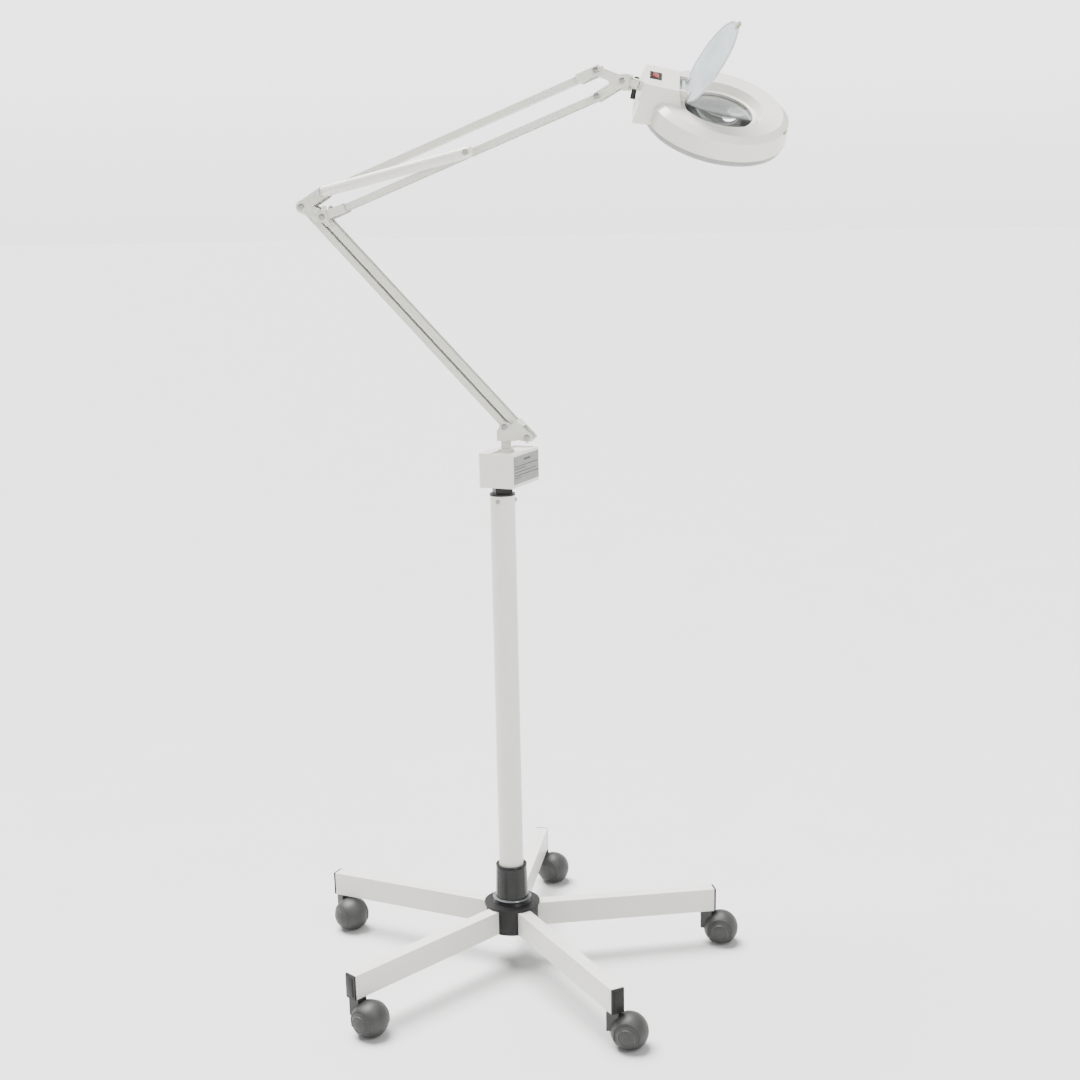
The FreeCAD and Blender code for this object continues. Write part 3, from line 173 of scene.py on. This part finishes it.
def lathe(bm, profile, at, steps):
    """Revolve (radius, height) points about the frame's Z axis."""
    rings = []
    for radius, height in profile:
        if radius == 0:
            rings.append([bm.verts.new(at @ Vector((0, 0, height)))])
            continue
        rings.append([bm.verts.new(at @ Vector((radius * math.cos(2 * math.pi * i / steps),
                                                radius * math.sin(2 * math.pi * i / steps), height)))
                      for i in range(steps)])
    for lower, upper in zip(rings, rings[1:]):
        for i in range(steps):
            j = (i + 1) % steps
            corners = (lower[i % len(lower)], lower[j % len(lower)],
                       upper[j % len(upper)], upper[i % len(upper)])
            unique = list(dict.fromkeys(corners))
            if len(unique) > 2:
                bm.faces.new(unique)


def rounded_box(bm, size, at, bevel, segments=3):
    """A box about the frame's origin with rounded edges."""
    made = bmesh.ops.create_cube(bm, size=1, matrix=at @ Matrix.Diagonal((*size, 1)))
    edges = list({edge for vert in made["verts"] for edge in vert.link_edges})
    bmesh.ops.bevel(bm, geom=edges, offset=bevel, segments=segments, profile=0.5, affect="EDGES")


def piece(name, bm, body, material):
    """A detail that rides a body."""
    obj = mesh_object(name, bm)
    obj.data.materials.append(material)
    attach(obj, body)


# ---------------------------------------------------------------- materials

def new_material(name, colour, roughness, metallic=0.0, coat=0.0, transmission=0.0, ior=1.45):
    material = bpy.data.materials.new(name)
    material.use_nodes = True
    shader = material.node_tree.nodes["Principled BSDF"]
    shader.inputs["Base Color"].default_value = (*colour, 1)
    shader.inputs["Roughness"].default_value = roughness
    shader.inputs["Metallic"].default_value = metallic
    shader.inputs["Coat Weight"].default_value = coat
    shader.inputs["Coat Roughness"].default_value = 0.12
    shader.inputs["Transmission Weight"].default_value = transmission
    shader.inputs["IOR"].default_value = ior
    return material, shader


GRAIN_DEPTH = 0.0004
ROUGHNESS_FLOOR = 0.02


def add_mottle(material, shader, colour, spread, scale, bump, grain, rough_spread=0.06):
    """Vary colour and roughness slowly over the surface, with a fine grain in the bump."""
    nodes, links = material.node_tree.nodes, material.node_tree.links
    coords = nodes.new("ShaderNodeTexCoord")
    noise = nodes.new("ShaderNodeTexNoise")
    noise.inputs["Scale"].default_value = scale
    noise.inputs["Detail"].default_value = 6
    links.new(coords.outputs["Object"], noise.inputs["Vector"])
    ramp = nodes.new("ShaderNodeValToRGB")
    ramp.color_ramp.elements[0].position = 0.3
    ramp.color_ramp.elements[1].position = 0.7
    ramp.color_ramp.elements[0].color = (*[max(0, c - spread) for c in colour], 1)
    ramp.color_ramp.elements[1].color = (*[min(1, c + spread) for c in colour], 1)
    links.new(noise.outputs["Fac"], ramp.inputs["Fac"])
    links.new(ramp.outputs["Color"], shader.inputs["Base Color"])
    base = shader.inputs["Roughness"].default_value
    spread_map = nodes.new("ShaderNodeMapRange")
    spread_map.inputs["To Min"].default_value = max(ROUGHNESS_FLOOR, base - rough_spread)
    spread_map.inputs["To Max"].default_value = base + rough_spread
    links.new(noise.outputs["Fac"], spread_map.inputs["Value"])
    links.new(spread_map.outputs["Result"], shader.inputs["Roughness"])
    if bump:
        fine = nodes.new("ShaderNodeTexNoise")
        fine.inputs["Scale"].default_value = grain
        fine.inputs["Detail"].default_value = 3
        links.new(coords.outputs["Object"], fine.inputs["Vector"])
        lift = nodes.new("ShaderNodeBump")
        lift.inputs["Strength"].default_value = bump
        lift.inputs["Distance"].default_value = GRAIN_DEPTH
        links.new(fine.outputs["Fac"], lift.inputs["Height"])
        links.new(lift.outputs["Normal"], shader.inputs["Normal"])


def textured(name, colour, roughness, spread, scale, bump, grain=60, **kind):
    """An opaque material: colour spread and its scale, then the grain's strength and its scale."""
    material, shader = new_material(name, colour, roughness, **kind)
    add_mottle(material, shader, colour, spread, scale, bump, grain)
    return material


def glass(name, colour, roughness, ior, transmission=1.0, bump=0.0, grain=200, spread=0.015, scale=20):
    """A clear or translucent material with the same kind of mottle."""
    material, shader = new_material(name, colour, roughness, transmission=transmission, ior=ior)
    add_mottle(material, shader, colour, spread, scale, bump, grain, rough_spread=0.02)
    return material


PAINT = textured("cream_paint", (0.60, 0.592, 0.545), 0.36, 0.012, 9, 0.05, 900, coat=0.15)
BAR_PAINT = textured("bar_paint", (0.53, 0.53, 0.47), 0.34, 0.010, 14, 0.02, 600, coat=0.2)
SHELL = textured("white_moulding", (0.60, 0.583, 0.525), 0.22, 0.008, 7, 0.02, 500, coat=0.5)
DARK = textured("dark_moulding", (0.012, 0.012, 0.0118), 0.38, 0.004, 25, 0.12, 700, ior=1.3)
GLOSS_DARK = textured("dark_sleeve", (0.011, 0.0112, 0.0112), 0.22, 0.003, 20, 0.03, 500, coat=0.12, ior=1.3)
CASTER = textured("grey_moulding", (0.026, 0.026, 0.025), 0.5, 0.006, 30, 0.25, 1100)
TREAD = textured("black_tread", (0.006, 0.006, 0.006), 0.62, 0.002, 40, 0.3, 1500, ior=1.2)
STEEL = textured("plated_steel", (0.45, 0.455, 0.46), 0.24, 0.03, 60, 0.08, 900, metallic=1.0)
BRIGHT = textured("bright_rivet", (0.30, 0.29, 0.27), 0.25, 0.03, 60, 0.08, 900, metallic=1.0)
DULL = textured("dull_button", (0.30, 0.29, 0.25), 0.35, 0.02, 60, 0.08, 900, metallic=0.8)
# Lighter grey than the dark sleeve it sits on: a painted highlight on the lip at the sleeve's foot.
LIP_HIGHLIGHT = textured("lip_painted_highlight", (0.10, 0.105, 0.11), 0.22, 0.01, 40, 0.05, 700, coat=0.4)
RIM = textured("cover_rim_plastic", (0.42, 0.46, 0.46), 0.25, 0.02, 30, 0.05, 500, coat=0.3)
PLATE = textured("grey_plate", (0.17, 0.17, 0.165), 0.42, 0.012, 60, 0.05, 900)
INK = textured("plate_ink", (0.012, 0.012, 0.012), 0.5, 0.003, 60, 0.0)
# The lens glass is tinted dark grey: painted shade for the dark space seen through the lens, as the glass itself
# is clear.
SHADE_TINTED_LENS = glass("lens_glass", (0.19, 0.20, 0.195), 0.02, 1.5)
PRISM = glass("diffuser_plastic", (0.34, 0.35, 0.335), 0.28, 1.35, transmission=0.3, bump=0.35, grain=420)
FILM = glass("cover_plastic", (0.56, 0.63, 0.65), 0.08, 1.42, transmission=0.45, bump=0.6, grain=38,
             spread=0.07, scale=26)
LAMP = textured("lamp_phosphor", (0.9, 0.9, 0.87), 0.35, 0.01, 20, 0.02)
RED = textured("red_rocker", (0.20, 0.045, 0.04), 0.25, 0.015, 80, 0.03, coat=0.4)
OLIVE = textured("olive_tab", (0.24, 0.235, 0.16), 0.5, 0.02, 60, 0.1)

NODE_MATERIALS = {
    "column": PAINT, "adapter_block": DARK, "column_ring": DARK, "column_screws": STEEL, "hub_body": DARK,
    "hub_sleeve": GLOSS_DARK, "ballast_box": SHELL, "ballast_cover": SHELL, "rating_plate": PLATE,
    "choke": STEEL, "inlet_gland": DARK, "swivel_post": BAR_PAINT, "shoulder_bracket": BAR_PAINT,
    "shoulder_pins": STEEL, "lower_bar_rear": BAR_PAINT, "lower_bar_front": BAR_PAINT,
    "elbow_bracket": BAR_PAINT, "stop_plates": BAR_PAINT, "elbow_pins": STEEL, "upper_bar_top": BAR_PAINT,
    "upper_bar_bottom": BAR_PAINT, "spring_tube": PAINT, "spring_rod": STEEL, "tube_anchor": STEEL,
    "head_bracket": BAR_PAINT, "head_bracket_pins": STEEL, "knuckle": BAR_PAINT, "clamp_knob": SHELL,
    "swivel_neck": BAR_PAINT, "yaw_pin": DARK, "head_shell": SHELL, "lens": SHADE_TINTED_LENS, "lens_ring": SHELL,
    "ring_lamp": LAMP, "diffuser": PRISM, "flip_cover": FILM, "cover_tab": OLIVE, "hinge_pin": STEEL,
    "rocker_frame": DARK, "rocker": RED,
}
NUMBERED = {"leg": PAINT, "leg_cap": DARK, "caster_hood": CASTER, "caster_wheel": TREAD}
# How far each node's sharp edges are softened.
BEVELS = {"leg": 0.0012, "leg_cap": 0.0012, "column": 0.0004, "adapter_block": 0.001, "hub_body": 0.0012,
          "hub_sleeve": 0.0006, "ballast_box": 0.0012, "ballast_cover": 0.0012, "shoulder_bracket": 0.0005,
          "lower_bar_rear": 0.0005, "lower_bar_front": 0.0005, "upper_bar_top": 0.0005,
          "upper_bar_bottom": 0.0005, "elbow_bracket": 0.0005, "stop_plates": 0.0004, "head_bracket": 0.0005,
          "knuckle": 0.001, "swivel_neck": 0.0006, "head_shell": 0.0014, "clamp_knob": 0.001,
          "spring_tube": 0.0005, "rocker": 0.0006, "rocker_frame": 0.0004, "flip_cover": 0.0006,
          "cover_tab": 0.0006, "column_ring": 0.0005, "diffuser": 0.0008, "lens_ring": 0.0005}
SOFTENED_FROM = math.radians(40)


def dress_nodes():
    """Give each carried-over node its material and softened edges."""
    for node, obj in frame["nodes"].items():
        family = node.rsplit("_", 1)[0] if node[-1].isdigit() else node
        obj.data.materials.clear()
        obj.data.materials.append(NUMBERED.get(family) or NODE_MATERIALS[node])
        if family in BEVELS:
            soften = obj.modifiers.new("Soften", "BEVEL")
            soften.width = BEVELS[family]
            soften.segments = 2
            soften.limit_method = "ANGLE"
            soften.angle_limit = SOFTENED_FROM
            soften.harden_normals = True


# ---------------------------------------------------------------- helpers for the details

def reach_along(node, point, axis, radius):
    """How far a node reaches along a line each way, counting what lies near the line."""
    steps = []
    for vertex in frame["nodes"][node].data.vertices:
        offset = vertex.co - point
        along = offset.dot(axis)
        if (offset - axis * along).length < radius:
            steps.append(along)
    return min(steps), max(steps)


def scaled(profile):
    """A (radius, height) profile given in millimetres."""
    return [(radius * MM, height * MM) for radius, height in profile]


RIVET = scaled([(4.45, -0.3), (4.4, 0.5), (3.7, 1.0), (2.5, 1.1), (2.2, 0.45), (1.5, 0.45), (1.3, 0.9),
                (0, 1.0)])
BUTTON = scaled([(4.9, -0.3), (4.9, 0.3), (4.2, 0.9), (3.0, 1.0), (2.8, 0.5), (0, 0.5)])
PIN_REACH = 5 * MM
HEAD_STEPS = 32


def rivets(name, node, points):
    """Turned heads on both ends of the cross pins through the given points."""
    bm = bmesh.new()
    for point in points:
        low, high = reach_along(node, point, Y, PIN_REACH)
        for axis, reach in ((-Y, -low), (Y, high)):
            lathe(bm, RIVET, basis(axis, point + axis * reach), HEAD_STEPS)
    piece(name, bm, BODY_OF[node], BRIGHT)


def join_rings(bm, rings):
    """Join rings of as many points each into a closed skin, capped at both ends."""
    for first, second in zip(rings, rings[1:]):
        for i in range(len(first)):
            j = (i + 1) % len(first)
            bm.faces.new((first[i], first[j], second[j], second[i]))
    bm.faces.new(rings[0])
    bm.faces.new(list(reversed(rings[-1])))


def sweep(bm, profile, at, start, end, steps):
    """Revolve a closed (radius, height) section through part of a turn, angles in degrees."""
    rings = []
    for i in range(steps + 1):
        turn = math.radians(start + (end - start) * i / steps)
        rings.append([bm.verts.new(at @ Vector((r * math.cos(turn), r * math.sin(turn), h)))
                      for r, h in profile])
    join_rings(bm, rings)


def wire(bm, points, radius, sides):
    """A round wire along a line of points."""
    rings = []
    for i, point in enumerate(points):
        ahead = points[min(i + 1, len(points) - 1)] - points[max(i - 1, 0)]
        at = basis(ahead, point, Y)
        rings.append([bm.verts.new(at @ Vector((radius * math.cos(2 * math.pi * k / sides),
                                                radius * math.sin(2 * math.pi * k / sides), 0)))
                      for k in range(sides)])
    join_rings(bm, rings)


# ---------------------------------------------------------------- stand

CASTERS = range(1, 6)
SHOULDER_HALF_TURN = 118


def make_caster_details():
    """The round cap and the stepped shoulder on each side of a caster's hood."""
    cap = scaled([(13.6, 22.6), (12.9, 24.4), (11.6, 25.6), (10.6, 25.7), (10.3, 25.3), (0, 25.3)])
    shoulder = scaled([(18.0, 20.3), (18.0, 21.6), (18.8, 21.4), (20.6, 19.4), (20.2, 18.2)])
    for number in CASTERS:
        centre = joint_point("wheel_spin_%d" % number)
        axis = joint_axis("wheel_spin_%d" % number)
        bm = bmesh.new()
        for side in (axis, -axis):
            at = basis(side, centre, Z)
            lathe(bm, cap, at, 48)
            sweep(bm, shoulder, at, -SHOULDER_HALF_TURN, SHOULDER_HALF_TURN, 56)
        piece("caster_cheeks_%d" % number, bm, "caster_%d" % number, CASTER)


CAP_PANEL = Vector((30, 13, 1.2)) * MM
CAP_PANEL_EDGE = 0.5 * MM
CAP_REACH = 60 * MM


def make_cap_details():
    """The raised panel on each leg's end plug."""
    for number in CASTERS:
        cap = "leg_cap_%d" % number
        centre = box_centre(cap)
        out = Vector((centre.x, centre.y, 0)).normalized()
        reach = reach_along(cap, centre, out, CAP_REACH)[1]
        bm = bmesh.new()
        rounded_box(bm, CAP_PANEL, basis(out, centre + out * reach, Z), CAP_PANEL_EDGE, 2)
        piece("cap_panel_%d" % number, bm, BODY_OF[cap], DARK)


def make_hub_details():
    """The lip round the sleeve's foot, a real step painted lighter grey as a highlight, and the rolled edge of its
    mouth.
    """
    low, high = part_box("hub_sleeve")
    bm = bmesh.new()
    lathe(bm, scaled([(25.6, 0.2), (29.6, 0.2), (29.9, 1.0), (29.2, 2.0), (27.6, 2.4), (25.6, 2.2)]),
          basis(Z, Z * low.z), 96)
    piece("sleeve_lip", bm, "base", LIP_HIGHLIGHT)
    bm = bmesh.new()
    lathe(bm, scaled([(19.4, -0.4), (24.2, -0.4), (24.5, 0.3), (23.8, 1.2), (20.4, 1.2), (19.4, 0.4)]),
          basis(Z, Z * high.z), 96)
    piece("sleeve_mouth", bm, "base", GLOSS_DARK)


BOX_TURN = math.radians(82)
BAR_HEIGHT, BAR_EDGE = 0.3 * MM, 0.1 * MM
# Each bar's start, end and place down the plate, as shares of the plate, and its width in mm.
LABEL_BARS = ((0.40, 0.66, 0.16, 3.0), (0.03, 0.97, 0.36, 1.3), (0.03, 0.46, 0.45, 1.2),
              (0.03, 0.90, 0.57, 1.2), (0.03, 0.97, 0.69, 1.3), (0.03, 0.28, 0.78, 1.2))


def make_label():
    """Plain bars where the rating plate's print would be: no letters."""
    normal = Vector((math.sin(BOX_TURN), -math.cos(BOX_TURN), 0))
    along = Vector((math.cos(BOX_TURN), math.sin(BOX_TURN), 0))
    centre = box_centre("rating_plate")
    low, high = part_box("rating_plate")
    height = high.z - low.z
    length = reach_along("rating_plate", centre, along, height)[1] * 2
    level = reach_along("rating_plate", centre, normal, length)[1]
    bm = bmesh.new()
    for start, end, down, width in LABEL_BARS:
        middle = (centre + along * length * ((start + end) / 2 - 0.5)
                  + Z * height * (0.5 - down) + normal * level)
        size = (length * (end - start), width * MM, BAR_HEIGHT)
        rounded_box(bm, size, basis(normal, middle, along), BAR_EDGE, 1)
    piece("label_bars", bm, BODY_OF["rating_plate"], INK)


SCREW_TIPS_FROM = 19.5 * MM      # distance from the column's axis
SCREW_SIZE = 12 * MM


def make_column_details():
    """Turned heads over the column screws, found from the screws' outer ends."""
    node = frame["nodes"]["column_screws"]
    tips = [v.co.copy() for v in node.data.vertices if v.co.xy.length > SCREW_TIPS_FROM]
    ends = []
    for tip in tips:
        near = [end for end in ends if (end[0] - tip).length < SCREW_SIZE]
        if near:
            near[0].append(tip)
        else:
            ends.append([tip])
    bm = bmesh.new()
    for end in ends:
        middle = sum(end, Vector()) / len(end)
        out = Vector((middle.x, middle.y, 0)).normalized()
        lathe(bm, scaled([(3.1, -2.6), (3.1, 0.1), (2.5, 0.6), (1.7, 0.6), (1.4, 0.1), (0, 0.1)]),
              basis(out, middle, Z), HEAD_STEPS)
    piece("column_screw_heads", bm, BODY_OF["column_screws"], BRIGHT)


# ---------------------------------------------------------------- arm

COIL_TURNS, COIL_STEPS = 26, 16
COIL_FROM, COIL_TO = 6.2 * MM, 58 * MM      # distances from the eye on the elbow's top pin
COIL_RADIUS, STRAND_RADIUS = 5.6 * MM, 0.8 * MM


def make_arm_details():
    """Rivet heads on the arm's pins, the button on the spring's tube, and the spring's coil."""
    shoulder, shoulder_rear = joint_point("lower_arm_tilt"), joint_point("lower_rear_follow")
    elbow, elbow_top = joint_point("upper_arm_tilt"), joint_point("upper_top_follow")
    wrist = joint_point("head_bracket_follow")
    rivets("shoulder_rivets", "shoulder_pins", (shoulder, shoulder_rear))
    rivets("elbow_rivets", "elbow_pins", (elbow, elbow + shoulder_rear - shoulder))
    rivets("bracket_rivets", "head_bracket_pins", (wrist, wrist + elbow_top - elbow))

    anchor = box_centre("tube_anchor")
    anchor.y = box_centre("spring_tube").y
    low = reach_along("spring_tube", anchor, Y, PIN_REACH)[0]
    bm = bmesh.new()
    lathe(bm, BUTTON, basis(-Y, anchor + Y * low), HEAD_STEPS)
    piece("tube_button", bm, "spring_tube", DULL)

    eye = Vector((elbow_top.x, anchor.y, elbow_top.z))
    along = (anchor - eye).normalized()
    side = along.cross(Y)
    points = []
    for i in range(COIL_TURNS * COIL_STEPS + 1):
        share, turn = i / (COIL_TURNS * COIL_STEPS), 2 * math.pi * i / COIL_STEPS
        across = Y * math.cos(turn) + side * math.sin(turn)
        points.append(eye + along * (COIL_FROM + (COIL_TO - COIL_FROM) * share) + across * COIL_RADIUS)
    bm = bmesh.new()
    wire(bm, points, STRAND_RADIUS, 6)
    piece("spring_coil", bm, "spring_rod", STEEL)


FLUTES, FLUTE_DEPTH = 8, 0.7 * MM
KNOB_RADIUS, KNOB_THICKNESS, KNOB_STEPS = 11.9 * MM, 8.2 * MM, 96
KNOB_PROUD = 0.5 * MM      # how far the fluted cap stands off the knob's face


def make_knuckle_details():
    """A fluted cap over the clamp knob, and the rivet at the other end of its bolt."""
    centre = joint_point("clamp_knob_turn")
    top = reach_along("clamp_knob", centre, Y, KNOB_RADIUS)[1] + KNOB_PROUD
    foot = top - KNOB_THICKNESS
    bm = bmesh.new()
    rings = []
    for level, inset in ((foot, 0.4), (foot + 0.6 * MM, 0), (top - 0.9 * MM, 0), (top, 1.1)):
        rings.append([])
        for i in range(KNOB_STEPS):
            turn = 2 * math.pi * i / KNOB_STEPS
            radius = KNOB_RADIUS - inset * MM - FLUTE_DEPTH * max(0, math.cos(FLUTES * turn)) ** 2
            offset = X * radius * math.cos(turn) + Z * radius * math.sin(turn)
            rings[-1].append(bm.verts.new(centre + offset + Y * level))
    join_rings(bm, rings)
    piece("knob_flutes", bm, "clamp_knob", SHELL)
    low = reach_along("clamp_knob", centre, Y, PIN_REACH)[0]
    bm = bmesh.new()
    lathe(bm, RIVET, basis(-Y, centre + Y * low), HEAD_STEPS)
    piece("knob_bolt_head", bm, "clamp_knob", BRIGHT)


# ---------------------------------------------------------------- lamp head

HEAD_X, HEAD_Y = joint_axis("head_roll"), joint_axis("cover_flip")
HEAD_Z = HEAD_X.cross(HEAD_Y)
HINGE = joint_point("cover_flip")
HINGE_BACK, HINGE_RISE = 56 * MM, 17 * MM      # from the lens's centre to the cover's hinge
HEAD = HINGE + HEAD_X * HINGE_BACK - HEAD_Z * HINGE_RISE


def head_basis(origin, x=HEAD_X, z=HEAD_Z):
    """The lamp head's own frame: X away from the arm, Z up through the lens."""
    return Matrix.Translation(origin) @ Matrix((x, HEAD_Y, z)).transposed().to_4x4()


CATCH_TURN, CATCH_RADIUS, CATCH_LEVEL = math.radians(-22), 100.3 * MM, 1.6 * MM
CATCH_SIZE, CATCH_EDGE = Vector((3.0, 8.5, 5.2)) * MM, 0.8 * MM


def make_catch():
    """The cover's catch, on the crease of the shade."""
    out = HEAD_X * math.cos(CATCH_TURN) + HEAD_Y * math.sin(CATCH_TURN)
    spot = HEAD + out * CATCH_RADIUS + HEAD_Z * CATCH_LEVEL
    bm = bmesh.new()
    rounded_box(bm, CATCH_SIZE, basis(HEAD_Z, spot, out), CATCH_EDGE)
    piece("shade_catch", bm, "head", OLIVE)


def make_hinge_buttons():
    """Round buttons over both ends of the cover's hinge pin."""
    bm = bmesh.new()
    low, high = reach_along("hinge_pin", HINGE, HEAD_Y, PIN_REACH)
    button = scaled([(3.4, -0.4), (3.4, 0.6), (2.6, 1.1), (0, 1.2)])
    for axis, reach in ((-HEAD_Y, -low), (HEAD_Y, high)):
        lathe(bm, button, basis(axis, HINGE + axis * reach), HEAD_STEPS)
    piece("hinge_buttons", bm, "head", SHELL)


RIBS = 13


def make_diffuser_details():
    """Fine rings of ribs under the diffuser, and the band round its edge; sizes in mm."""
    low = reach_along("diffuser", HEAD, HEAD_Z, 1)[0] / MM
    offsets = [vertex.co - HEAD for vertex in frame["nodes"]["diffuser"].data.vertices]
    radii = [(offset - HEAD_Z * offset.dot(HEAD_Z)).length / MM for offset in offsets]
    inner, rim = min(radii), max(radii)
    start, end = inner + 3, rim - 4
    pitch = (end - start) / RIBS
    section = []
    for i in range(RIBS):
        section += [(start + pitch * i, low - 0.05), (start + pitch * (i + 0.5), low - 0.6)]
    section += [(end, low - 0.05), (end, low + 0.4), (start, low + 0.4)]
    bm = bmesh.new()
    lathe(bm, scaled(section + [section[0]]), head_basis(HEAD), 96)
    foot, top = low - 1.4, low + 8.2
    band = [(rim + 0.3, top), (rim + 0.3, foot + 1.5), (rim - 0.6, foot), (rim - 4, foot),
            (rim - 4, foot + 1.4), (rim - 1.2, foot + 1.6), (rim - 0.6, top)]
    lathe(bm, scaled(band + [band[0]]), head_basis(HEAD), 128)
    piece("diffuser_ribs", bm, "head", PRISM)


COVER_OPEN = math.radians(68)
COVER_REACH, COVER_LEVEL = 52 * MM, -8.4 * MM      # from the hinge to the cover's middle
COVER_RADIUS, COVER_HALF_TURN = 62.0, 138          # millimetres and degrees


def make_cover_details():
    """The moulded rim round the flip cover, which stands open."""
    turned = Matrix.Rotation(-COVER_OPEN, 3, HEAD_Y)
    x, z = turned @ HEAD_X, turned @ HEAD_Z
    at = head_basis(HINGE + x * COVER_REACH + z * COVER_LEVEL, x, z)
    inside, outside = COVER_RADIUS - 2.6, COVER_RADIUS + 0.3
    rim = scaled([(inside, -0.5), (outside, -0.5), (outside + 0.2, 1.0), (outside, 2.5), (inside, 2.5),
                  (inside - 0.3, 1.0)])
    bm = bmesh.new()
    sweep(bm, rim, at, -COVER_HALF_TURN, COVER_HALF_TURN, 110)
    piece("cover_rim", bm, "cover", RIM)


make_camera()
make_floor()
make_backdrop()
make_lights()
dress_nodes()
make_caster_details()
make_cap_details()
make_hub_details()
make_label()
make_column_details()
make_arm_details()
make_knuckle_details()
make_catch()
make_hinge_buttons()
make_diffuser_details()
make_cover_details()
